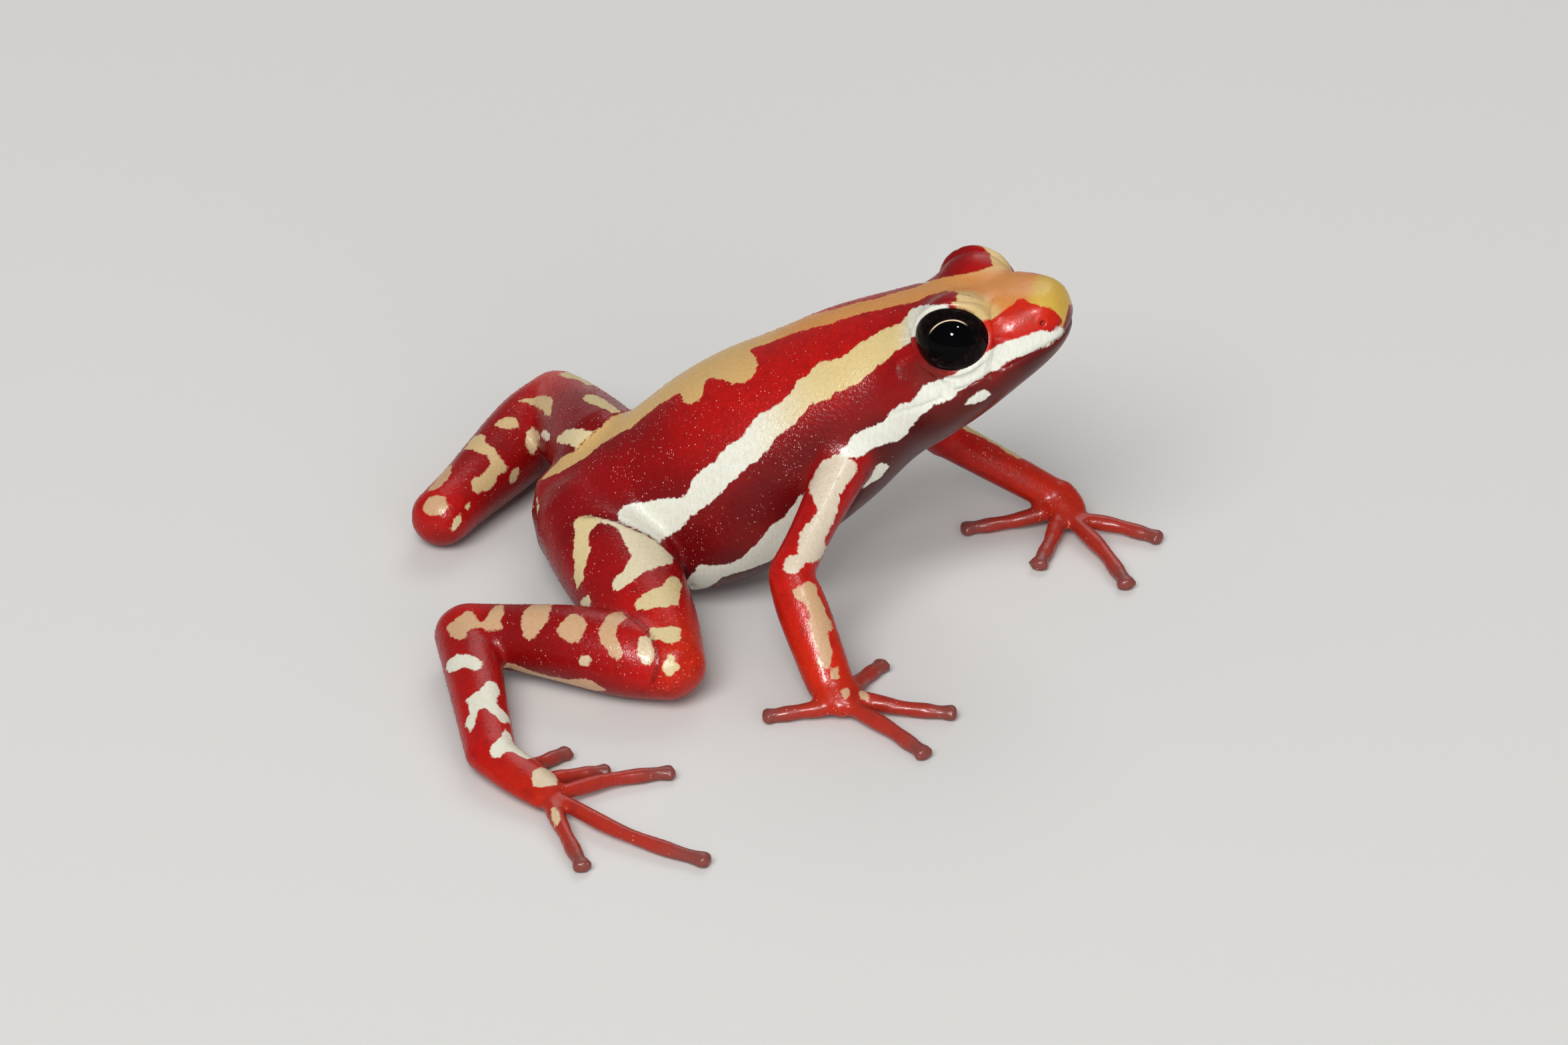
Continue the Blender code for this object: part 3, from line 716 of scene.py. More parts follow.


# Creases where the skin folds, with painted shade along them, in pixels of the photograph: depth and
# half width in mm.
creases = {
    "groin": {"on": ("body", "rightThigh"), "depth": 0.09, "width": 0.09, "line": [
        (864, 776), (900, 774), (926, 781), (948, 791), (973, 802), (990, 814), (1010, 833),
        (1026, 856), (1040, 881), (1049, 903)]},
    "knee": {"on": ("rightThigh", "rightShank"), "depth": 0.12, "width": 0.09, "line": [
        (930, 918), (948, 926), (962, 936), (975, 950), (983, 966), (987, 985), (985, 1005),
        (979, 1022), (972, 1035)]},
    "armpit": {"on": ("body", "rightUpperArm"), "depth": 0.06, "width": 0.08, "line": [
        (1297, 694), (1301, 712), (1290, 738), (1276, 760), (1266, 780)]},
    "brow": {"on": ("body", "rightLid"), "depth": 0.035, "width": 0.06, "line": [
        (1436, 439), (1448, 441), (1458, 444), (1466, 449)]},
}
# painted shade of the nostril pits and creases
foldTint = nostrilShade.copy()
for crease in creases.values():
    corners = surfacePoints(crease["line"], crease["on"])
    apart = np.full(count, 9.0)
    for a, b in zip(corners, corners[1:]):
        along = np.clip((co - a) @ (b - a) / ((b - a) @ (b - a)), 0, 1)
        apart = np.minimum(apart, np.linalg.norm(co - a - along[:, None] * (b - a), axis=1))
    toEnd = np.minimum(distance(co, corners[0]), distance(co, corners[-1]))
    dip = swell(apart, 0, crease["width"]) * smoothStep(0.0, 0.5, toEnd)
    co -= normals * (dip * crease["depth"])[:, None]
    foldTint = np.maximum(foldTint, dip * 0.8)
co[:, 2] = np.maximum(co[:, 2], 0)

paleDepth = np.full(count, -1.0)  # mm inside a pale marking, below 0 outside it
paleTone = np.full(count, 0.4)  # 0 is white, 0.5 cream and 1 gold
blush = np.zeros(count)  # how pink a pale marking is


def paint(depthHere, tone, pink, where):
    better = depthHere > paleDepth[where]
    index = np.nonzero(where)[0][better]
    paleDepth[index] = depthHere[better]
    paleTone[index] = tone[better] if isinstance(tone, np.ndarray) else tone
    blush[index] = pink


# Stripes of the body, in pixels of the photograph, each on both sides of the midline.
bodyStripes = {
    "crown": {"tone": 1.1, "outline": [
        (1605, 447), (1600, 463), (1588, 466), (1572, 461), (1558, 459), (1545, 455), (1536, 448),
        (1526, 449), (1520, 457), (1508, 464), (1496, 468), (1486, 477), (1474, 478), (1462, 470),
        (1446, 463), (1428, 459), (1434, 450), (1437, 440), (1420, 438)]},
    "back": {"tone": 1.0, "outline": [
        (1460, 442), (1437, 440), (1420, 438), (1395, 443), (1375, 452), (1345, 459), (1320, 465),
        (1280, 473), (1250, 484), (1220, 492), (1190, 500), (1160, 512), (1140, 519), (1124, 524),
        (1133, 537), (1137, 545), (1135, 554), (1128, 566), (1115, 575), (1098, 575), (1080, 568),
        (1062, 567), (1055, 578), (1055, 590), (1048, 601), (1033, 607), (1026, 602), (1020, 589),
        (1000, 600), (980, 614), (960, 630), (945, 643), (925, 652), (900, 668), (880, 685),
        (860, 697), (840, 709), (808, 723), (820, 710), (840, 692), (860, 676), (880, 658),
        (900, 640), (930, 618), (980, 588), (1020, 560), (1060, 533), (1100, 512), (1130, 502),
        (1160, 492), (1200, 478), (1250, 465), (1280, 455), (1310, 449), (1340, 440), (1370, 432),
        (1400, 422), (1420, 418), (1440, 412), (1460, 406)]},
    "flank": {"tone": 0.3, "outline": [
        (1425, 460), (1405, 462), (1380, 460), (1367, 464), (1355, 480), (1345, 487), (1330, 493),
        (1310, 503), (1290, 515), (1262, 537), (1245, 541), (1232, 542), (1222, 548), (1213, 562),
        (1195, 573), (1187, 585), (1178, 598), (1165, 608), (1145, 618), (1130, 630), (1113, 655),
        (1088, 673), (1070, 693), (1050, 708), (1038, 720), (1030, 742), (1022, 747), (1000, 747),
        (965, 755), (935, 758), (926, 774), (950, 785), (980, 805), (995, 797), (1010, 798),
        (1022, 790), (1030, 778), (1060, 758), (1075, 747), (1095, 725), (1120, 703), (1137, 690),
        (1150, 675), (1168, 652), (1192, 638), (1203, 622), (1215, 607), (1240, 600), (1255, 587),
        (1285, 575), (1300, 565), (1312, 551), (1330, 540), (1345, 525), (1368, 510), (1382, 495),
        (1400, 478), (1425, 468)]},
    "lip": {"tone": 0.05, "outline": [
        (1600, 484), (1590, 488), (1580, 498), (1560, 496), (1540, 503), (1525, 508), (1510, 511),
        (1500, 520), (1482, 527), (1474, 534), (1462, 545), (1438, 556), (1415, 570), (1392, 572),
        (1382, 583), (1375, 595), (1366, 602), (1348, 607), (1335, 620), (1322, 634), (1308, 641),
        (1290, 645), (1280, 652), (1275, 662), (1262, 672), (1248, 685), (1270, 686), (1290, 679),
        (1315, 670), (1345, 662), (1358, 653), (1367, 637), (1385, 620), (1400, 608), (1415, 604),
        (1430, 596), (1442, 586), (1462, 574), (1480, 566), (1500, 553), (1512, 542), (1540, 532),
        (1560, 525), (1575, 520), (1587, 511), (1598, 499)]},
    "belly": {"tone": 0.1, "outline": [
        (1212, 735), (1200, 742), (1190, 758), (1180, 772), (1155, 790), (1140, 812), (1112, 838),
        (1095, 845), (1065, 850), (1048, 848), (1037, 862), (1030, 870), (1036, 884), (1040, 898),
        (1052, 892), (1065, 880), (1082, 867), (1120, 855), (1155, 842), (1172, 826), (1190, 795),
        (1205, 760)]},
    "jaw": {"tone": 0.0, "outline": [
        (1446, 608), (1455, 598), (1472, 585), (1480, 586), (1486, 592), (1475, 601), (1460, 607)]},
    "chest": {"tone": 0.1, "outline": [
        (1293, 734), (1300, 720), (1308, 710), (1312, 699), (1322, 694), (1334, 699), (1322, 716),
        (1305, 726)]},
    "rump": {"tone": 0.3, "outline": [
        (802, 755), (807, 753), (814, 766), (820, 786), (813, 782), (806, 770)]},
    "rumpLow": {"tone": 0.3, "outline": [
        (828, 815), (834, 818), (839, 845), (837, 860), (831, 845)]},
}
bodyForms = ("body", "leftLid", "rightLid")
onBody = np.isin(ownerName, bodyForms) | (bodyGap < 0.4)
bodyPoints = np.stack([bodyLength, bodyArc], 1)[onBody]
lengthHere = bodyPoints[:, 0]
# how the left side's stripes stray from the right side's
wander = 0.12 * np.sin(lengthHere * 1.7 + 0.6) + 0.06 * np.sin(lengthHere * 4.3)
wander *= smoothStep(1.5, 4.0, lengthHere)
for name, stripe in bodyStripes.items():
    corners = np.stack(bodyPlace(surfacePoints(stripe["outline"], bodyForms)), 1)
    if name == "crown":  # closed along the midline
        first = corners[0] * (1, 0) + (-0.3, 0.1)
        last = corners[-1] * (1, 0) + (0.1, 0.1)
        corners = np.concatenate([[first], corners, [last]])
    if name == "back":  # behind the outline the far edge lies a little further over
        farEdge = slice(44, 48)
        corners[farEdge, 1] += (0.25, 0.5, 0.55, 0.3)
        here = insideDepth(bodyPoints, corners)
    else:
        right = insideDepth(bodyPoints, corners)
        mirrored = bodyPoints * (1, -1) + np.stack([wander, wander * 0.5], 1)
        left = insideDepth(mirrored, corners)
        here = np.where(bodyPoints[:, 1] < 0, right, left)
    if name == "lip":
        here = np.minimum(here, lengthHere - 0.12)
    tone = stripe["tone"]
    if name == "flank":  # white by the eye, then golden, and white behind
        tone = 0.08 + 0.42 * smoothStep(5.6, 6.8, lengthHere) * smoothStep(15, 9.5, lengthHere)
    if name == "back":  # peach where it leaves the crown
        tone = 1.35 - 0.45 * smoothStep(11.0, 14.5, lengthHere)
    if name == "crown":  # paler on the lids, yellow at the snout's tip
        eyes = [onSide(head["eye"], sign) for sign in sides.values()]
        toEye = np.min([distance(co[onBody], place) for place in eyes], axis=0)
        tone = 0.7 + 0.8 * smoothStep(1.6, 2.3, toEye) + 0.5 * smoothStep(1.6, 0.6, lengthHere)
    paint(here, tone, 0.0, onBody)
snoutTip = [
    (1566, 436), (1572, 424), (1584, 422), (1596, 426), (1606, 436), (1608, 450), (1605, 462),
    (1598, 467), (1588, 467), (1576, 462)]
farLidRed = [
    (1388, 424), (1396, 408), (1404, 392), (1418, 376), (1436, 366), (1456, 364), (1474, 368),
    (1484, 379), (1487, 389), (1489, 399), (1478, 404), (1463, 409), (1445, 414), (1425, 418)]
print("body striped")

# Markings of the limbs, in pixels of the photograph, on the forms named.
limbMarks = {
    "shoulder": {"on": ("rightUpperArm", "rightForearm", "body"), "tone": 0.15, "pink": 0.35,
                 "outline": [
        (1250, 684), (1262, 680), (1275, 690), (1285, 697), (1284, 710), (1270, 728), (1260, 742),
        (1258, 757), (1250, 785), (1243, 797), (1235, 815), (1240, 819), (1237, 830), (1224, 843),
        (1207, 846), (1200, 857), (1186, 862), (1174, 853), (1176, 840), (1187, 833), (1197, 836),
        (1197, 815), (1200, 800), (1207, 788), (1220, 777), (1226, 767), (1218, 745), (1212, 735),
        (1218, 718), (1225, 705), (1235, 692)]},
    "forearm": {"on": ("rightForearm", "rightUpperArm"), "tone": 0.5, "pink": 0.85, "outline": [
        (1190, 885), (1200, 878), (1215, 873), (1223, 877), (1227, 890), (1240, 920), (1250, 942),
        (1243, 946), (1243, 960), (1250, 975), (1248, 990), (1243, 1001), (1230, 1003), (1225, 990),
        (1228, 980), (1220, 965), (1213, 935), (1215, 920), (1208, 908), (1198, 900), (1190, 895)]},
    "wristSpot": {"on": ("rightForearm",), "tone": 0.6, "pink": 0.85, "outline": [
        (1247, 1003), (1259, 1000), (1258, 1020), (1262, 1031), (1250, 1032), (1246, 1020)]},
    "handSpot": {"on": ("rightForearm", "rightPalm"), "tone": 0.5, "pink": 0.85, "outline": [
        (1261, 1036), (1272, 1031), (1276, 1042), (1268, 1051)]},
    "fingerSpot": {"on": ("rightPalm", "rightFinger1", "rightFinger2"), "tone": 0.4, "pink": 0.85,
                   "outline": [
        (1287, 1038), (1297, 1035), (1306, 1046), (1298, 1053), (1290, 1050)]},
    "leftArm": {"on": ("leftUpperArm", "leftForearm"), "tone": 0.7, "outline": [
        (1438, 638), (1455, 641), (1475, 649), (1500, 661), (1520, 671), (1541, 687), (1525, 688),
        (1508, 677), (1490, 665), (1470, 655), (1450, 646)]},
    "thighRoot": {"on": ("body", "rightThigh"), "tone": 0.1, "outline": [
        (926, 774), (935, 758), (965, 755), (1000, 747), (1022, 747), (1030, 760), (1030, 778),
        (1022, 790), (1010, 798), (998, 806), (990, 814), (973, 802), (948, 791), (926, 781)]},
    "thighBehind": {"on": ("rightThigh",), "tone": 0.4, "outline": [
        (862, 790), (863, 778), (870, 774), (885, 772), (903, 778), (893, 790), (885, 797),
        (882, 810), (885, 825), (876, 855), (875, 870), (866, 884), (860, 865), (862, 850),
        (860, 835), (863, 805)]},
    "thighTop": {"on": ("rightThigh",), "tone": 0.28, "outline": [
        (903, 785), (903, 777), (926, 783), (948, 793), (973, 804), (990, 816), (1002, 826),
        (1010, 836), (1008, 847), (990, 850), (975, 855), (960, 863), (950, 872), (935, 882),
        (925, 886), (917, 880), (920, 870), (935, 857), (947, 838), (943, 825), (928, 795),
        (915, 788)]},
    "thighBar": {"on": ("rightThigh",), "tone": 0.4, "outline": [
        (953, 907), (956, 899), (965, 893), (992, 880), (1000, 870), (1008, 863), (1018, 868),
        (1022, 878), (1018, 907), (1000, 910), (970, 916), (957, 915)]},
    "kneeBar": {"on": ("rightThigh", "rightShank"), "tone": 0.4, "outline": [
        (971, 941), (1000, 941), (1012, 940), (1023, 944), (1019, 961), (1005, 966), (980, 958)]},
    "kneeSpot": {"on": ("rightThigh", "rightShank"), "tone": 0.4, "outline": [
        (1001, 985), (1008, 983), (1020, 1000), (1013, 1007), (1008, 1017), (998, 1014),
        (993, 1003)]},
    "thighSpot": {"on": ("rightThigh",), "tone": 0.3, "outline": [
        (869, 904), (875, 896), (882, 893), (887, 902), (886, 910), (872, 909)]},
    "shankHeel": {"on": ("rightShank", "rightTarsus"), "tone": 0.55, "pink": 0.85, "outline": [
        (671, 940), (680, 932), (700, 917), (710, 918), (720, 935), (730, 928), (745, 908),
        (758, 903), (758, 918), (752, 930), (755, 943), (728, 950), (722, 942), (700, 945),
        (698, 957), (688, 960), (676, 955)]},
    "shankOne": {"on": ("rightShank",), "tone": 0.45, "pink": 0.85, "outline": [
        (782, 925), (790, 913), (802, 903), (828, 903), (825, 920), (822, 932), (803, 957),
        (793, 961), (785, 955), (782, 945)]},
    "shankTwo": {"on": ("rightShank",), "tone": 0.5, "pink": 0.85, "outline": [
        (835, 945), (842, 933), (852, 924), (865, 920), (875, 925), (880, 937), (877, 950),
        (868, 963), (855, 964), (843, 958)]},
    "shankHook": {"on": ("rightShank",), "tone": 0.45, "pink": 0.85, "outline": [
        (920, 918), (932, 918), (942, 927), (932, 933), (925, 940), (924, 952), (933, 975),
        (932, 985), (925, 989), (914, 984), (912, 976), (902, 965), (898, 950), (902, 937),
        (910, 925)]},
    "shankKnee": {"on": ("rightShank", "rightThigh"), "tone": 0.3, "pink": 0.35, "outline": [
        (960, 957), (970, 953), (977, 960), (982, 975), (980, 990), (974, 1000), (963, 995),
        (956, 982), (955, 968)]},
    "shankDot": {"on": ("rightShank",), "tone": 0.3, "pink": 0.35, "outline": [
        (868, 990), (873, 983), (882, 983), (888, 990), (883, 999), (873, 999)]},
    "shankUnder": {"on": ("rightShank",), "tone": 0.4, "pink": 0.85, "outline": [
        (745, 997), (760, 995), (775, 998), (800, 1008), (825, 1015), (850, 1019), (875, 1018),
        (890, 1024), (912, 1035), (895, 1037), (870, 1032), (840, 1025), (790, 1013), (765, 1003)]},
    "heel": {"on": ("rightTarsus", "rightShank"), "tone": 0.15, "outline": [
        (669, 1006), (670, 995), (675, 988), (685, 982), (700, 981), (712, 985), (725, 996),
        (722, 1003), (712, 1007), (700, 1002), (685, 1005), (675, 1009)]},
    "tarsusFork": {"on": ("rightTarsus",), "tone": 0.15, "outline": [
        (728, 1025), (737, 1021), (745, 1025), (750, 1035), (745, 1055), (752, 1063), (760, 1072),
        (766, 1086), (755, 1086), (735, 1068), (728, 1063), (718, 1065), (712, 1088), (706, 1098),
        (699, 1092), (700, 1080), (705, 1070), (701, 1050), (708, 1042), (720, 1035)]},
    "tarsusLow": {"on": ("rightTarsus", "rightSole"), "tone": 0.15, "outline": [
        (759, 1093), (765, 1102), (780, 1122), (800, 1137), (790, 1139), (768, 1128), (758, 1128),
        (750, 1137), (742, 1137), (735, 1130), (736, 1120), (752, 1105)]},
    "footSpot": {"on": ("rightSole", "rightTarsus"), "tone": 0.25, "pink": 0.35, "outline": [
        (797, 1170), (800, 1158), (810, 1151), (820, 1150), (830, 1157), (838, 1168), (835, 1178),
        (812, 1182), (800, 1180)]},
    "toeSpot": {"on": ("rightSole", "rightToe4", "rightToe5"), "tone": 0.35, "pink": 0.35,
                "outline": [
        (826, 1213), (832, 1210), (838, 1218), (840, 1228), (836, 1239), (831, 1240), (828, 1228)]},
    "leftThighEdge": {"on": ("leftThigh",), "tone": 0.6, "outline": [
        (838, 562), (850, 556), (862, 555), (872, 561), (895, 580), (880, 578), (868, 570),
        (850, 567)]},
    "leftThighBar": {"on": ("leftThigh",), "tone": 0.5, "outline": [
        (875, 597), (878, 592), (890, 592), (905, 598), (932, 622), (920, 622), (905, 613),
        (880, 603)]},
    "leftThighLow": {"on": ("leftThigh",), "tone": 0.35, "outline": [
        (833, 664), (838, 655), (848, 646), (862, 643), (895, 648), (880, 665), (867, 672),
        (858, 668), (838, 665)]},
    "leftShankTop": {"on": ("leftShank", "leftThigh"), "tone": 0.6, "pink": 0.35, "outline": [
        (777, 602), (790, 597), (805, 595), (827, 595), (829, 605), (826, 626), (818, 620),
        (808, 611), (795, 606)]},
    "leftShankOne": {"on": ("leftShank",), "tone": 0.6, "pink": 0.35, "outline": [
        (741, 637), (750, 630), (760, 626), (772, 627), (778, 635), (777, 641), (765, 645),
        (750, 643)]},
    "leftHook": {"on": ("leftShank",), "tone": 0.55, "pink": 0.35, "outline": [
        (695, 675), (702, 665), (710, 656), (722, 652), (728, 655), (727, 663), (740, 672),
        (747, 683), (755, 690), (762, 702), (758, 710), (748, 715), (742, 727), (730, 735),
        (718, 741), (708, 735), (706, 727), (712, 718), (722, 712), (733, 703), (735, 693),
        (730, 683), (718, 680)]},
    "leftShankTwo": {"on": ("leftShank", "leftThigh"), "tone": 0.35, "pink": 0.35, "outline": [
        (788, 660), (792, 648), (799, 642), (808, 647), (810, 657), (806, 670), (799, 685),
        (792, 679)]},
    "leftShankThree": {"on": ("leftShank",), "tone": 0.4, "pink": 0.35, "outline": [
        (764, 722), (765, 712), (770, 704), (778, 702), (779, 710), (773, 722), (766, 726)]},
    "leftShankEdge": {"on": ("leftShank", "leftTarsus"), "tone": 0.75, "pink": 0.85, "outline": [
        (640, 738), (650, 726), (658, 715), (668, 703), (678, 697), (676, 710), (668, 722),
        (660, 731), (650, 736)]},
    "leftHeel": {"on": ("leftShank", "leftTarsus"), "tone": 0.6, "pink": 0.85, "outline": [
        (632, 765), (640, 750), (655, 742), (668, 745), (672, 760), (665, 770), (650, 776)]},
    "leftDot": {"on": ("leftShank",), "tone": 0.4, "outline": [
        (698, 762), (702, 753), (708, 752), (706, 760), (701, 765)]},
    "leftShankLow": {"on": ("leftShank", "leftTarsus"), "tone": 0.35, "outline": [
        (676, 793), (680, 780), (688, 771), (694, 772), (692, 783), (686, 792), (680, 797)]},
    "leftKneeSpot": {"on": ("leftThigh", "leftShank"), "tone": 0.2, "outline": [
        (810, 653), (817, 645), (824, 650), (825, 661), (818, 662)]},
}
segmentEnds = {
    "UpperArm": ("shoulder", "elbow"), "Forearm": ("elbow", "wrist"), "Palm": ("wrist", "palm"),
    "Thigh": ("hip", "knee"), "Shank": ("knee", "heel"), "Tarsus": ("heel", "ankle"),
    "Sole": ("ankle", "sole"),
}


def onChart(corners, names):
    # the skin's points near an outline, flattened together with it
    inside = np.isin(ownerName, names)
    centre = corners.mean(0)
    nearest = ((co[inside][None] - corners[:, None]) ** 2).sum(2).argmin(1)
    across = normals[inside][nearest].mean(0)
    across /= np.linalg.norm(across)
    u = np.cross(across, (0.3, 0.2, 0.9))
    u /= np.linalg.norm(u)
    v = np.cross(across, u)
    flat = np.stack([(corners - centre) @ u, (corners - centre) @ v], 1)
    reach = distance(corners, centre).max() + 1.0
    where = inside & (distance(co, centre) < reach) & (normals @ across > 0.05)
    points = np.stack([(co[where] - centre) @ u, (co[where] - centre) @ v], 1)
    return insideDepth(points, flat), where


def markLimb(corners, names, mark, amount):
    depthHere, where = onChart(corners, names)
    paint(depthHere - (1 - amount[where]) * 0.8, mark["tone"], mark.get("pink", 0.0), where)


def segmentFrame(side, part):
    a, b = (np.array(joints[side][n]) for n in segmentEnds[part])
    along = (b - a) / np.linalg.norm(b - a)
    outward = -sides[side] * np.cross(along, (0, 0, 1))
    outward /= np.linalg.norm(outward)
    over = -sides[side] * np.cross(outward, along)
    return a, np.linalg.norm(b - a), np.stack([along, outward, over])


def hiddenFromView():
    polygons = [tuple(p.vertices) for p in skinMesh.polygons]
    solid = BVHTree.FromPolygons([tuple(p) for p in co], polygons)
    hidden = np.ones(count)
    for i in np.nonzero(np.char.startswith(ownerName, "left"))[0]:
        toward = eyePoint - Vector(co[i])
        start = Vector(co[i]) + Vector(normals[i]) * 0.05
        hidden[i] = solid.ray_cast(start, toward.normalized())[0] is not None
    for _ in range(6):
        hidden = neighbourMean(hidden, edges, count)
    return smoothStep(0.6, 1.0, hidden)


# the left limbs have the right ones' markings on the sides that the photograph hides
hidden = hiddenFromView()
everywhere = np.ones(count)
for name, mark in limbMarks.items():
    corners = surfacePoints(mark["outline"], mark["on"])
    markLimb(corners, mark["on"], mark, everywhere)
    part = mark["on"][0].replace("right", "")
    if part in segmentEnds:
        start, size, axes = segmentFrame("right", part)
        otherStart, otherSize, otherAxes = segmentFrame("left", part)
        place = (corners - start) @ axes.T * (otherSize / size, 1, 1)
        markLimb(otherStart + place @ otherAxes, ["left" + part], mark, hidden)
corners = surfacePoints(snoutTip, ("body",))
markLimb(corners, ("body",), {"tone": 1.9}, everywhere)
flipped = headCoordinates(corners) * (1, -1, 1) @ np.array([forward, leftward, upward])
markLimb(flipped + np.array(head["centre"]), ("body",), {"tone": 1.9}, everywhere)
depthHere, where = onChart(surfacePoints(farLidRed, ("leftLid", "body")), ("leftLid", "body"))
paleDepth[where] = np.minimum(paleDepth[where], -depthHere)
print("limbs marked")

# Tints that vary over the skin, each 0 to 1, some of them painted light and shade.
warm = np.zeros(count)  # orange red of the limbs and snout, and painted light on the upper flank
dusk = np.zeros(count)  # brown red of the throat, palms and digits, with painted shade on the belly, jaw, thigh backs and other undersides
tipTint = np.zeros(count)  # see-through brown of the digit ends
grain = np.zeros(count)  # how grainy the skin is
sparkle = np.zeros(count)  # how many grains get a painted glint, and how thickly granules stand


def shareAlong(name, points):
    side = "right" if name.startswith("right") else "left"
    j = {key: np.array(place) for key, place in joints[side].items()}
    part = name[len(side):]
    if part in segmentEnds:
        a, b = (j[n] for n in segmentEnds[part])
    elif part.startswith("Finger"):
        a = j["palm"]
        b = np.array([*fingers[side][int(part[-1]) - 1][:2], digit["height"]])
    else:
        a = j["sole"]
        b = np.array([*toes[side][int(part[-1]) - 1][:2], digit["height"]])
    return np.clip((points - a) @ (b - a) / ((b - a) @ (b - a)), 0, 1)


glintAndGranulePatches = [  # pixel, forms, reach in mm, amount of painted glints and granules
    ((1172, 672), bodyForms, 1.9, 1.7), ((905, 705), bodyForms, 2.0, 0.6),
    ((980, 880), ("rightThigh",), 1.6, 0.8), ((1255, 1068), ("rightPalm",), 1.0, 0.6),
    ((1500, 672), ("leftUpperArm", "leftForearm"), 1.6, 1.2), ((1580, 790), ("leftPalm",), 1.2, 0.8),
]
limbTint = {  # orange at the start and end of each segment, then the same for grain
    "UpperArm": (0.2, 0.5, 0.8, 0.8), "Forearm": (0.55, 0.85, 0.7, 0.6),
    "Palm": (0.85, 0.9, 0.5, 0.4), "Thigh": (0.0, 1.0, 1.0, 0.8), "Shank": (0.6, 0.2, 0.8, 0.8),
    "Tarsus": (0.2, 0.45, 0.8, 0.7), "Sole": (0.5, 0.8, 0.6, 0.4),
}
tints = {
    "digit": {"warm": 0.85, "dusk": 0.25, "grain": 0.3, "sparkle": 0.15},
    "palmDusk": (0.15, 0.1),  # at the wrist or ankle, and what it gains from there
    "limbUnder": 0.5,  # painted shade on the undersides of arms and legs
    "legSparkle": 0.3,
    "stripeUnder": 0.28,  # brown red between the flank's lower stripe and the belly, partly painted shade
    "snoutWarm": 0.8,
    # painted shade below and behind the eye, with some brown tint
    "lidWarm": 0.3,
    "drum": 0.35,
    "cheek": 0.65,
    "rounds": 14,  # how far neighbouring tints flow into each other
}
for number, name in enumerate(owners):
    here = owner == number
    part = name.replace("left", "").replace("right", "")
    if not here.any():
        continue
    if part in limbTint:
        t = shareAlong(name, co[here])
        a, b, c, d = limbTint[part]
        ends = t**3 if part == "Thigh" else t
        if part == "Shank":
            ends = 1 - (1 - t) ** 4
            warm[here] = a + (0.1 - a) * ends + 0.5 * smoothStep(0.82, 1.0, t)
        else:
            warm[here] = a + (b - a) * ends
        grain[here] = c + (d - c) * t
        if part in ("Thigh", "Shank"):
            sparkle[here] = tints["legSparkle"]
        # painted shade on the undersides, by how far the skin faces down
        if part in ("Thigh", "Shank", "Tarsus", "UpperArm", "Forearm"):
            dusk[here] = tints["limbUnder"] * smoothStep(0.1, -0.7, normals[here][:, 2])
        if part in ("Palm", "Sole"):
            dusk[here] = tints["palmDusk"][0] + tints["palmDusk"][1] * t
    elif "Finger" in part or "Toe" in part:
        t = shareAlong(name, co[here])
        warm[here] = tints["digit"]["warm"]
        dusk[here] = tints["digit"]["dusk"]
        tipTint[here] = 0.15 + 0.3 * t + 0.55 * smoothStep(0.7, 0.95, t)
        grain[here] = tints["digit"]["grain"]
        sparkle[here] = tints["digit"]["sparkle"]
    else:
        length, arc = bodyLength[here], abs(bodyArc[here])
        girth = np.interp(bodyLength[here], lengths, arcs[:, half])
        low = arc / girth
        # the jaw, the belly and the band below the flank stripe turn brown red, partly their own
        # colour and partly painted shade
        jaw = smoothStep(0.03, -0.1, gap[here]) * smoothStep(-7.5, -6.0, local[here][:, 0])
        under = tints["stripeUnder"] * smoothStep(0.26, 0.42, low) * smoothStep(5, 8, length)
        dusk[here] = np.maximum(np.maximum(smoothStep(0.58, 0.7, low), jaw), under)
        grain[here] = 1 - smoothStep(0.5, 0.7, low)
        snout = 1 - smoothStep(3.6, 5.0, length)
        # painted light: the upper flank is made a brighter, warmer red, less so lower down
        paintedFlankLight = (0.22 + 0.25 * smoothStep(6, 10, length)) * smoothStep(21, 14, length)
        warm[here] = np.maximum(tints["snoutWarm"] * snout, paintedFlankLight * smoothStep(0.42, 0.22, low))
        warm[here] *= 1 - smoothStep(0.4, 0.55, low)
        grain[here] *= 1 - 0.7 * snout
        if "Lid" in name:
            warm[here] *= tints["lidWarm"]
        sparkle[here] = 0.12 * smoothStep(6, 9, length) + 0.4 * smoothStep(10, 16, length)
for _ in range(tints["rounds"]):
    warm, dusk, tipTint, grain = (
        neighbourMean(values, edges, count) for values in (warm, dusk, tipTint, grain))
for place, names, radius, amount in glintAndGranulePatches:
    apart = distance(co, surfacePoints([place], names)[0])
    sparkle = np.maximum(sparkle, amount * smoothStep(radius, radius * 0.4, apart))
# painted shade on the cheek below and behind the eye, with some brown tint, joined with the
# eardrum's own tint
cheeks = [distance(local, face["cheek"] * (1, sign, 1)) for sign in sides.values()]
cheek = np.min(cheeks, axis=0) / face["cheekReach"]
faceTint = np.maximum(tints["drum"] * drumTint, tints["cheek"] * smoothStep(1.0, 0.4, cheek))

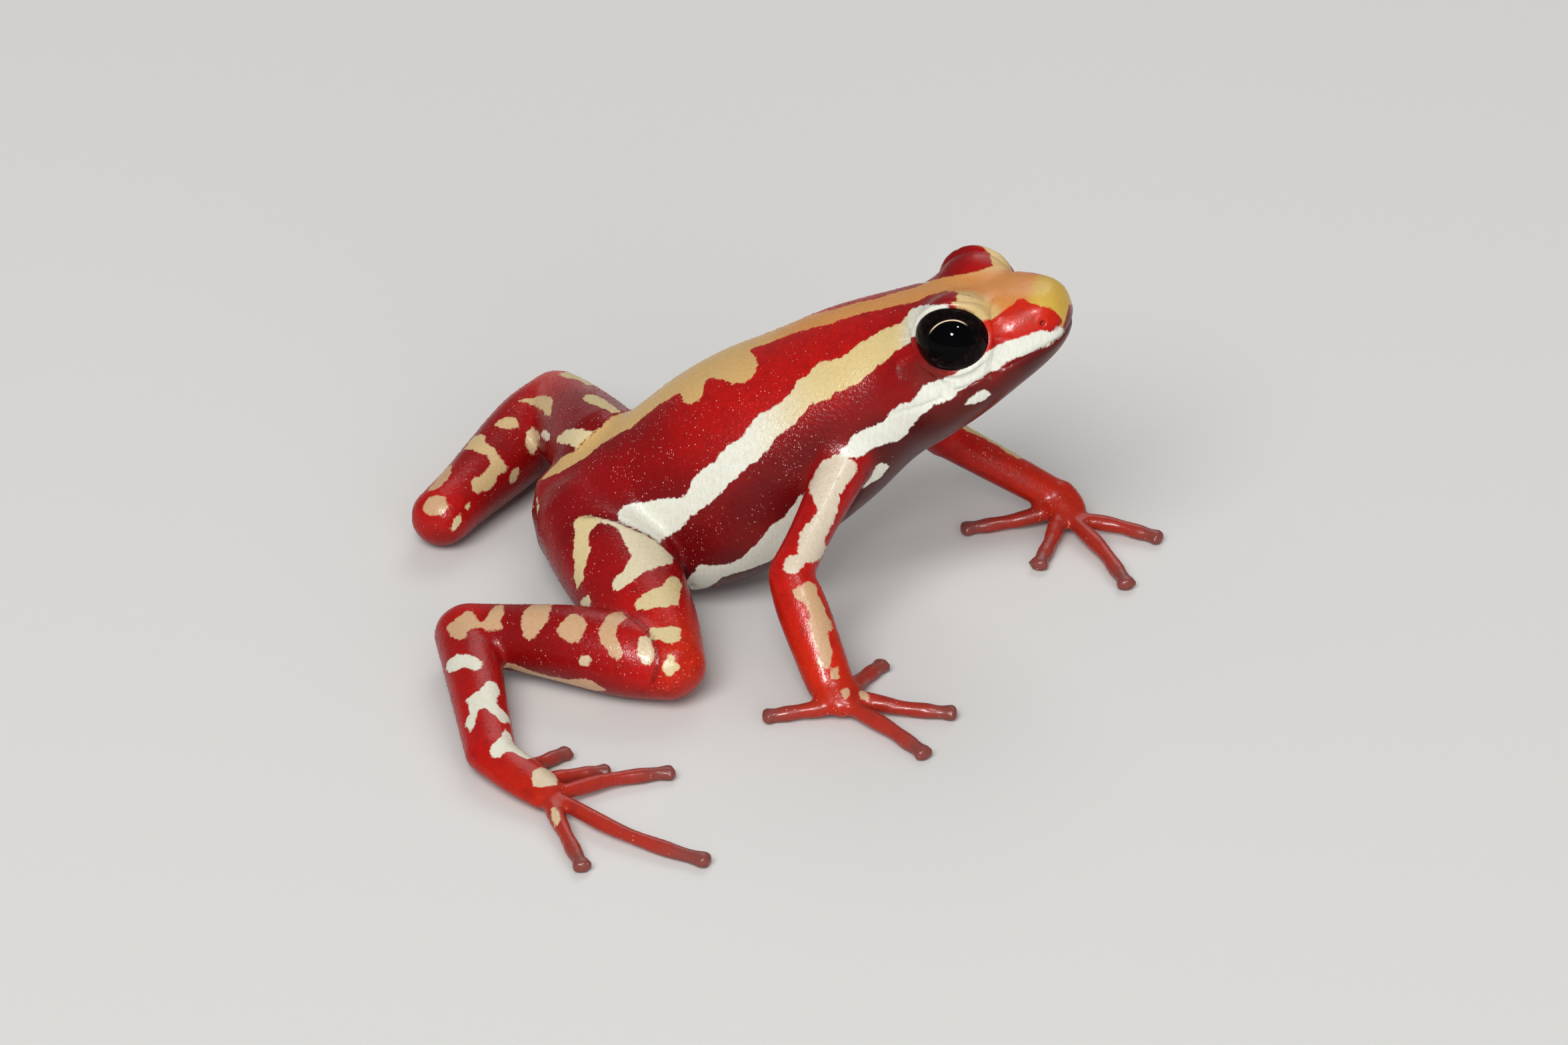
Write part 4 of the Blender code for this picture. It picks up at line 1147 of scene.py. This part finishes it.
# Into the row frame, held inside the CAD box.
co = co * mm + np.array(shift)
co = np.clip(co, np.array(cadLow), np.array(cadHigh))
skinMesh.vertices.foreach_set("co", co.ravel())
writeValues(skinMesh, {
    "paleDepth": np.clip(paleDepth, -1, 1), "paleTone": paleTone, "warm": warm, "dusk": dusk,
    "tipTint": tipTint, "grain": grain, "lidPlace": np.clip(rim, 0.5, 2), "foldTint": foldTint,
    "blush": blush, "sparkle": sparkle, "faceTint": faceTint})
skinMesh.update()
skinMesh.shade_smooth()
print("skin has", sum(len(p.vertices) - 2 for p in skinMesh.polygons), "triangles")


def newGroup(name, inputs, outputs):
    tree = bpy.data.node_groups.new(name, "ShaderNodeTree")
    for label, kind, value in inputs:
        socket = tree.interface.new_socket(label, in_out="INPUT", socket_type="NodeSocket" + kind)
        socket.default_value = value
    for label, kind in outputs:
        tree.interface.new_socket(label, in_out="OUTPUT", socket_type="NodeSocket" + kind)
    return tree, tree.nodes.new("NodeGroupInput"), tree.nodes.new("NodeGroupOutput")


def newMaterial(name):
    material = bpy.data.materials.new(name)
    material.use_nodes = True
    return material, material.node_tree.nodes["Principled BSDF"]


def setInputs(node, values):
    for name, value in values.items():
        node.inputs[name].default_value = value


# Builds a shader tree: each call adds a node, and a value or another node's output feeds it.
class Wiring:
    def __init__(self, tree):
        self.tree = tree

    def add(self, kind, **values):
        node = self.tree.nodes.new("ShaderNode" + kind)
        for name, value in values.items():
            setattr(node, name, value)
        return node

    def link(self, a, b):
        self.tree.links.new(a, b)

    def feed(self, socket, value):
        if isinstance(value, bpy.types.NodeSocket):
            self.link(value, socket)
        else:
            socket.default_value = value

    def math(self, operation, a, b=0.0, clamp=False):
        node = self.add("Math", operation=operation, use_clamp=clamp)
        self.feed(node.inputs[0], a)
        self.feed(node.inputs[1], b)
        return node.outputs[0]

    def times(self, a, b):
        return self.math("MULTIPLY", a, b)

    def plus(self, a, b):
        return self.math("ADD", a, b)

    def minus(self, a, b, clamp=False):
        return self.math("SUBTRACT", a, b, clamp)

    def mix(self, factor, a, b, blend="MIX"):
        node = self.add("Mix", data_type="RGBA", blend_type=blend)
        self.feed(node.inputs["Factor"], factor)
        colours = [s for s in node.inputs if s.type == "RGBA"]
        self.feed(colours[0], a if isinstance(a, bpy.types.NodeSocket) else (*a, 1))
        self.feed(colours[1], b if isinstance(b, bpy.types.NodeSocket) else (*b, 1))
        return [s for s in node.outputs if s.type == "RGBA"][0]

    def step(self, value, low, high):
        node = self.add("MapRange", interpolation_type="SMOOTHSTEP")
        self.feed(node.inputs["Value"], value)
        setInputs(node, {"From Min": low, "From Max": high})
        return node.outputs["Result"]

    def noise(self, vector, scale, detail=2.0, roughness=0.5):
        node = self.add("TexNoise")
        self.feed(node.inputs["Vector"], vector)
        self.feed(node.inputs["Scale"], scale)
        setInputs(node, {"Detail": detail, "Roughness": roughness})
        return node.outputs["Fac"]

    def cells(self, vector, scale):
        node = self.add("TexVoronoi")
        self.feed(node.inputs["Vector"], vector)
        self.feed(node.inputs["Scale"], scale)
        return node

    def attribute(self, name):
        return self.add("Attribute", attribute_name=name).outputs["Fac"]


# Small raised grains, and painted glints on a few of them.
grains, groupIn, groupOut = newGroup(
    "skinGrains",
    [("Place", "Vector", (0, 0, 0)), ("Grains per metre", "Float", 12000.0),
     ("Amount", "Float", 1.0), ("Sparkle", "Float", 0.3)],
    [("Height", "Float"), ("Glint", "Float"), ("Shade", "Float")])
w = Wiring(grains)
place = groupIn.outputs["Place"]
close = w.cells(place, groupIn.outputs["Grains per metre"])
wide = w.cells(place, w.times(groupIn.outputs["Grains per metre"], 0.45))
dome = w.minus(1.0, w.times(close.outputs["Distance"], 1.4), True)
broadDome = w.minus(1.0, w.times(wide.outputs["Distance"], 1.4), True)
height = w.plus(w.times(dome, 0.5), w.times(broadDome, 0.6))
w.link(w.times(height, groupIn.outputs["Amount"]), groupOut.inputs["Height"])
split = w.add("SeparateColor")
w.link(close.outputs["Color"], split.inputs["Color"])
# painted glints: bright spots on a few grain cells, picked at random in patches
patch = w.noise(place, 900.0, 2.0)
chance = w.times(groupIn.outputs["Sparkle"], w.step(patch, 0.3, 0.75))
lucky = w.math("GREATER_THAN", split.outputs["Red"],
               w.minus(1.0, w.times(chance, 0.85)))
size = w.plus(0.1, w.times(split.outputs["Blue"], 0.22))
spot = w.math("LESS_THAN", close.outputs["Distance"], size)
bright = w.plus(0.4, w.times(split.outputs["Green"], 0.6))
w.link(w.times(w.times(lucky, spot), bright), groupOut.inputs["Glint"])
w.link(w.times(w.step(height, 0.75, 0.25), groupIn.outputs["Amount"]),
       groupOut.inputs["Shade"])

# Fine fibres across the pale bands, which also fray their edges.
fibres, groupIn, groupOut = newGroup(
    "paleFibres",
    [("Place", "Vector", (0, 0, 0)), ("Fibres per metre", "Float", 9000.0)],
    [("Fray", "Float"), ("Fibre", "Float")])
w = Wiring(fibres)
stretch = w.add("Mapping")
w.link(groupIn.outputs["Place"], stretch.inputs["Vector"])
setInputs(stretch, {"Rotation": (0.0, 0.35, 0.0), "Scale": (1.0, 1.0, 0.3)})
fibre = w.noise(stretch.outputs["Vector"], groupIn.outputs["Fibres per metre"], 2.0, 0.5)
coarse = w.noise(groupIn.outputs["Place"], 3200.0, 2.0)
w.link(w.plus(w.times(w.minus(fibre, 0.5), 0.15),
              w.times(w.minus(coarse, 0.5), 0.28)), groupOut.inputs["Fray"])
w.link(fibre, groupOut.inputs["Fibre"])

colours = {  # linear red, green, blue
    "crimson": (0.32, 0.003, 0.005),
    "deepCrimson": (0.165, 0.0015, 0.003),
    "scarlet": (0.55, 0.008, 0.005),
    "orangeRed": (0.66, 0.03, 0.004),
    "brownRed": (0.095, 0.008, 0.005),
    "duskRed": (0.06, 0.004, 0.004),
    "faceTint": (0.16, 0.022, 0.015),
    "toeTip": (0.22, 0.055, 0.045),
    "white": (0.76, 0.78, 0.70),
    "cream": (0.68, 0.53, 0.25),
    "gold": (0.64, 0.40, 0.155),
    "peach": (0.66, 0.26, 0.065),
    "yellow": (0.66, 0.43, 0.07),
    "blush": (0.58, 0.34, 0.20),
    # painted shade in the gap where the lid meets the eyeball
    "lidDark": (0.012, 0.01, 0.014),
    # painted shade in the creases and nostril pits
    "fold": (0.05, 0.004, 0.004),
    "glint": (1.0, 0.62, 0.55),
}
skinLook = {
    "edge": 0.04,  # mm over which a marking's edge is soft
    "grainBump": 0.5,
    "bumpDepth": 0.03,  # mm
    "roughness": (0.2, 0.4),
    "ior": 1.4,
    "specular": 0.25,
    "coat": 0.03,
    "coatRoughness": 0.12,
    "subsurface": 0.1,
    "scatter": (1.0, 0.3, 0.2),  # how far red, green and blue travel, as shares of the next
    "scatterReach": 0.3,  # mm
    "paleShade": (0.78, 0.68, 0.56),  # what darkens a pale marking between its fibres
    "fold": 0.75,  # how dark the painted shade in the folds and nostrils is
    "lidEdge": (1.03, 0.98),  # where the painted shade in the gap between lid and eyeball starts and is full
}


def paleColour(w, fibre):
    tone = w.attribute("paleTone")
    light = colours["white"]
    for start, name in ((0.0, "cream"), (0.5, "gold"), (1.0, "peach"), (1.5, "yellow")):
        light = w.mix(w.step(tone, start, start + 0.5), light, colours[name])
    light = w.mix(w.attribute("blush"), light, colours["blush"])
    darker = w.mix(1.0, light, skinLook["paleShade"], "MULTIPLY")
    return w.mix(w.times(w.step(fibre, 0.6, 0.35), 0.25), light, darker)


def redColour(w, place, grainGroup):
    broad = w.noise(place, 260.0, 3.0)
    mottle = w.noise(place, 1500.0, 3.0, 0.6)
    red = w.mix(w.step(broad, 0.35, 0.68), colours["deepCrimson"], colours["crimson"])
    # orange of the limbs and snout, and painted light on the upper flank
    warmth = w.times(w.attribute("warm"), 2.0)
    red = w.mix(w.math("MINIMUM", warmth, 1.0), red, colours["scarlet"])
    red = w.mix(w.minus(warmth, 1.0, True), red, colours["orangeRed"])
    dark = w.times(w.step(mottle, 0.45, 0.75), 0.35)
    red = w.mix(dark, red, colours["deepCrimson"])
    red = w.mix(w.times(grainGroup.outputs["Shade"], 0.3), red, colours["deepCrimson"])
    # painted shade on the cheek, and the eardrum's own tint
    red = w.mix(w.attribute("faceTint"), red, colours["faceTint"])
    # brown red of the throat and digits, with painted shade on the undersides
    shadowed = w.mix(w.step(broad, 0.42, 0.62), colours["duskRed"], colours["brownRed"])
    red = w.mix(w.attribute("dusk"), red, shadowed)
    red = w.mix(w.attribute("tipTint"), red, colours["toeTip"])
    # painted glints on a few grains
    glint = w.times(grainGroup.outputs["Glint"], 0.7)
    return w.mix(glint, red, colours["glint"]), mottle


def makeSkin():
    material, shader = newMaterial("frogSkin")
    w = Wiring(material.node_tree)
    place = w.add("TexCoord").outputs["Object"]
    grainGroup = w.add("Group", node_tree=grains)
    w.link(place, grainGroup.inputs["Place"])
    w.link(w.attribute("grain"), grainGroup.inputs["Amount"])
    w.link(w.attribute("sparkle"), grainGroup.inputs["Sparkle"])
    fibreGroup = w.add("Group", node_tree=fibres)
    w.link(place, fibreGroup.inputs["Place"])
    rough = w.plus(0.3, w.times(w.attribute("grain"), 0.7))
    fray = w.times(fibreGroup.outputs["Fray"], rough)
    edge = w.plus(w.attribute("paleDepth"), fray)
    pale = w.step(edge, -skinLook["edge"], skinLook["edge"])
    red, mottle = redColour(w, place, grainGroup)
    colour = w.mix(pale, red, paleColour(w, fibreGroup.outputs["Fibre"]))
    # painted shade in the creases and nostril pits
    colour = w.mix(w.times(w.attribute("foldTint"), skinLook["fold"]), colour, colours["fold"])
    # painted shade in the gap where the lid turns in behind the eyeball
    lidEdge = w.step(w.attribute("lidPlace"), *skinLook["lidEdge"])
    colour = w.mix(lidEdge, colour, colours["lidDark"])
    w.link(colour, shader.inputs["Base Color"])
    gloss = w.add("MapRange")
    w.link(mottle, gloss.inputs["Value"])
    setInputs(gloss, dict(zip(("To Min", "To Max"), skinLook["roughness"])))
    w.link(gloss.outputs["Result"], shader.inputs["Roughness"])
    bump = w.add("Bump")
    setInputs(bump, {"Strength": skinLook["grainBump"], "Distance": skinLook["bumpDepth"] * mm})
    fibreHeight = w.times(w.times(fibreGroup.outputs["Fibre"], pale), 0.4)
    w.link(w.plus(grainGroup.outputs["Height"], fibreHeight), bump.inputs["Height"])
    w.link(bump.outputs["Normal"], shader.inputs["Normal"])
    setInputs(shader, {
        "IOR": skinLook["ior"],
        "Specular IOR Level": skinLook["specular"],
        "Coat Weight": skinLook["coat"],
        "Coat Roughness": skinLook["coatRoughness"],
        "Subsurface Weight": skinLook["subsurface"],
        "Subsurface Radius": skinLook["scatter"],
        "Subsurface Scale": skinLook["scatterReach"] * mm,
    })
    return material


skinMaterial = makeSkin()
skinMesh.materials.clear()
skinMesh.materials.append(skinMaterial)
fleshNodes = [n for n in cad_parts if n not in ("left_eye", "right_eye")]
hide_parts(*fleshNodes)
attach(skinObject, "root")
print("skin replaces", len(fleshNodes), "solids")

# Small raised granules stand on the back, flanks and thighs, closest on the flank's grainy patch.
granules = {
    "perSquareMillimetre": 26.0,
    "smallest": 0.018,  # mm across from the middle
    "largest": 0.034,
    "sink": 0.4,  # share of its size that a granule is sunk
    "least": 0.35,  # how thickly they stand away from the patches of painted glints
    "seed": 11,
}


def granuleTree():
    tree = bpy.data.node_groups.new("granules", "GeometryNodeTree")
    tree.interface.new_socket("Geometry", in_out="OUTPUT", socket_type="NodeSocketGeometry")
    tree.interface.new_socket("Geometry", in_out="INPUT", socket_type="NodeSocketGeometry")
    for label, kind in (("Density", "Float"), ("Smallest", "Float"), ("Largest", "Float"),
                        ("Seed", "Int"), ("Material", "Material")):
        tree.interface.new_socket(label, in_out="INPUT", socket_type="NodeSocket" + kind)
    add = tree.nodes.new
    join = tree.links.new
    start, end = add("NodeGroupInput"), add("NodeGroupOutput")
    amount = add("GeometryNodeInputNamedAttribute")
    amount.data_type = "FLOAT"
    amount.inputs["Name"].default_value = "granuleShare"
    density = add("ShaderNodeMath")
    density.operation = "MULTIPLY"
    join(amount.outputs["Attribute"], density.inputs[0])
    join(start.outputs["Density"], density.inputs[1])
    scatter = add("GeometryNodeDistributePointsOnFaces")
    join(start.outputs["Geometry"], scatter.inputs["Mesh"])
    join(density.outputs[0], scatter.inputs["Density"])
    join(start.outputs["Seed"], scatter.inputs["Seed"])
    bead = add("GeometryNodeMeshIcoSphere")
    bead.inputs["Radius"].default_value = 1.0
    bead.inputs["Subdivisions"].default_value = 1
    size = add("FunctionNodeRandomValue")
    size.data_type = "FLOAT"
    floats = [socket for socket in size.inputs if socket.type == "VALUE"]
    join(start.outputs["Smallest"], floats[0])
    join(start.outputs["Largest"], floats[1])
    join(start.outputs["Seed"], size.inputs["Seed"])
    smooth = add("GeometryNodeSetShadeSmooth")
    join(bead.outputs["Mesh"], smooth.inputs["Geometry"])
    place = add("GeometryNodeInstanceOnPoints")
    join(scatter.outputs["Points"], place.inputs["Points"])
    join(smooth.outputs["Geometry"], place.inputs["Instance"])
    join(scatter.outputs["Rotation"], place.inputs["Rotation"])
    drawn = [socket for socket in size.outputs if socket.type == "VALUE"][0]
    join(drawn, place.inputs["Scale"])
    realize = add("GeometryNodeRealizeInstances")
    join(place.outputs["Instances"], realize.inputs["Geometry"])
    paint = add("GeometryNodeSetMaterial")
    join(realize.outputs["Geometry"], paint.inputs["Geometry"])
    join(start.outputs["Material"], paint.inputs["Material"])
    join(paint.outputs["Geometry"], end.inputs["Geometry"])
    return tree


def growGranules():
    share = grain * np.clip(granules["least"] + sparkle, 0, 1) * (rim > 1.6) * (dusk < 0.3)
    for part in ("Finger", "Toe"):
        share[np.char.find(ownerName, part) >= 0] = 0
    source = skinMesh.copy()
    lowered = co - vertexNormals(source, co) * granules["sink"] * granules["smallest"] * mm
    source.vertices.foreach_set("co", lowered.ravel())
    writeValues(source, {"granuleShare": share})
    grower = addObject("granules", source)
    modifier = grower.modifiers.new("granules", "NODES")
    modifier.node_group = granuleTree()
    values = {"Density": granules["perSquareMillimetre"] / mm ** 2, "Seed": granules["seed"],
              "Smallest": granules["smallest"] * mm, "Largest": granules["largest"] * mm,
              "Material": skinMaterial}
    for item in modifier.node_group.interface.items_tree:
        if item.in_out == "INPUT" and item.name in values:
            modifier[item.identifier] = values[item.name]
    graph = bpy.context.evaluated_depsgraph_get()
    mesh = bpy.data.meshes.new_from_object(grower.evaluated_get(graph))
    grower.modifiers.clear()
    grower.data = mesh
    points, _ = meshArrays(mesh)
    inside = np.clip(points, np.array(cadLow), np.array(cadHigh))
    mesh.vertices.foreach_set("co", inside.ravel())
    mesh.update()
    return grower


granuleObject = growGranules()
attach(granuleObject, "root")
print("granules have", len(granuleObject.data.polygons), "triangles")

# The eyes: black balls with a dark brown iris, lit by a thin gold line over the pupil.
eye = {
    "rings": 72,
    "sidesRound": 96,
    "pupilTilt": 20,  # degrees up
    "pupilTurn": 12,  # degrees ahead
    "pupil": 38,  # half angle
    "pupilFlat": 0.88,  # its height as a share of its width
    "line": 2.6,  # the gold line's width in degrees
    "black": (0.0015, 0.0015, 0.002),
    "iris": ((0.003, 0.002, 0.0025), (0.016, 0.007, 0.005)),
    "gold": (0.8, 0.6, 0.42),
    "roughness": 0.04,
    "ior": 1.38,
    "specular": 0.07,
}


def makeEyeMaterial():
    material, shader = newMaterial("frogEye")
    w = Wiring(material.node_tree)
    place = w.add("TexCoord").outputs["Object"]
    beyond = w.attribute("pupilGap")  # degrees outside the pupil's edge
    iris = w.step(beyond, -1.0, 1.5)
    line = w.step(w.math("ABSOLUTE", beyond), eye["line"] * 0.75, eye["line"] * 0.25)
    line = w.times(line, w.attribute("lineFade"))
    fleck = w.noise(place, 5000.0, 3.0, 0.65)
    ground = w.mix(w.step(fleck, 0.45, 0.75), *eye["iris"])
    colour = w.mix(iris, eye["black"], ground)
    colour = w.mix(line, colour, eye["gold"])
    w.link(colour, shader.inputs["Base Color"])
    setInputs(shader, {"Roughness": eye["roughness"], "IOR": eye["ior"],
                       "Specular IOR Level": eye["specular"]})
    return material


eyeMaterial = makeEyeMaterial()
for side, sign in sides.items():
    axis, ahead, over = eyeAxes(sign, eye["pupilTilt"], eye["pupilTurn"])
    centre = onSide(head["eye"], sign)
    rings, poles = ballRings(centre, (axis, over, ahead), (head["eyeRadius"],) * 3,
                             eye["rings"], eye["sidesRound"])
    rings = [[p * mm + shift for p in ring] for ring in rings]
    shell = bmesh.new()
    addLoft(shell, rings, [p * mm + shift for p in poles])
    mesh = bpy.data.meshes.new(side + "EyeBall")
    shell.to_mesh(mesh)
    shell.free()
    points, _ = meshArrays(mesh)
    away = (points - np.array(shift)) / mm - np.array(centre)
    away /= np.linalg.norm(away, axis=1)[:, None]
    flat = np.stack([away @ np.array(ahead), away @ np.array(over) / eye["pupilFlat"]], 1)
    size = np.degrees(np.arcsin(np.clip(np.linalg.norm(flat, axis=1), 0, 1)))
    size = np.where(away @ np.array(axis) > 0, size, 90)
    high = np.arctan2(flat[:, 1], flat[:, 0])
    writeValues(mesh, {"pupilGap": size - eye["pupil"],
                       "lineFade": smoothStep(0.5, 0.85, np.sin(high))})
    mesh.shade_smooth()
    mesh.materials.append(eyeMaterial)
    ball = addObject(side + "EyeBall", mesh)
    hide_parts(side + "_eye")
    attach(ball, "root")
print("eyes made")

# A pale studio floor, soft lights and the camera.
studio = {
    "floorSize": 1.2,
    "floorDrop": 0.00001,  # keeps the floor just clear of the belly and toes
    "floorColour": (0.72, 0.71, 0.69),
    "floorRoughness": 0.85,
    "world": 0.22,
}
lights = {
    "key": {"place": (-0.16, -0.42, 0.5), "size": 0.45, "power": 3.3, "lit": "matt"},
    "fill": {"place": (0.2, -0.5, 0.14), "size": 0.45, "power": 1.1, "lit": "matt"},
    "back": {"place": (0.1, 0.5, 0.45), "size": 0.4, "power": 1.0, "lit": "both"},
    "catch": {"place": (-0.02, -0.3, 0.26), "size": 0.05, "power": 2.4, "lit": "gloss"},
    "spark": {"place": (0.11, -0.155, 0.355), "size": 0.03, "power": 0.8, "lit": "gloss"},
}
floorMesh = bpy.data.meshes.new("floor")
s = studio["floorSize"]
floorMesh.from_pydata([(-s, -s, 0), (s, -s, 0), (s, s, 0), (-s, s, 0)], [], [(0, 1, 2, 3)])
floor = addObject("floor", floorMesh)
floor.location.z = -studio["floorDrop"]
floorMaterial, floorShader = newMaterial("paleFloor")
setInputs(floorShader, {"Base Color": (*studio["floorColour"], 1),
                        "Roughness": studio["floorRoughness"]})
floorMesh.materials.append(floorMaterial)
floor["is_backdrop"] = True

for name, light in lights.items():
    source = bpy.data.lights.new(name, "AREA")
    source.shape = "DISK"
    source.size = light["size"]
    source.energy = light["power"]
    lamp = addObject(name, source)
    lamp.location = light["place"]
    lamp.visible_glossy = light["lit"] != "matt"
    lamp.visible_diffuse = light["lit"] != "gloss"
    lamp.rotation_mode = "QUATERNION"
    lamp.rotation_quaternion = (-lamp.location).to_track_quat("-Z", "Y")
world = bpy.data.worlds.new("studio")
world.use_nodes = True
setInputs(world.node_tree.nodes["Background"],
          {"Color": (1, 1, 1, 1), "Strength": studio["world"]})
bpy.context.scene.world = world
bpy.context.scene.view_settings.view_transform = "Standard"

lens = bpy.data.cameras.new("camera")
lens.lens = view["lens"]
lens.sensor_width = view["sensor"]
lens.clip_start = 0.01
camera = addObject("camera", lens)
camera.location = eyePoint * mm + shift
camera.rotation_euler = (math.radians(90 - view["down"]), 0, 0)
bpy.context.scene.camera = camera

low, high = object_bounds()
print("done")
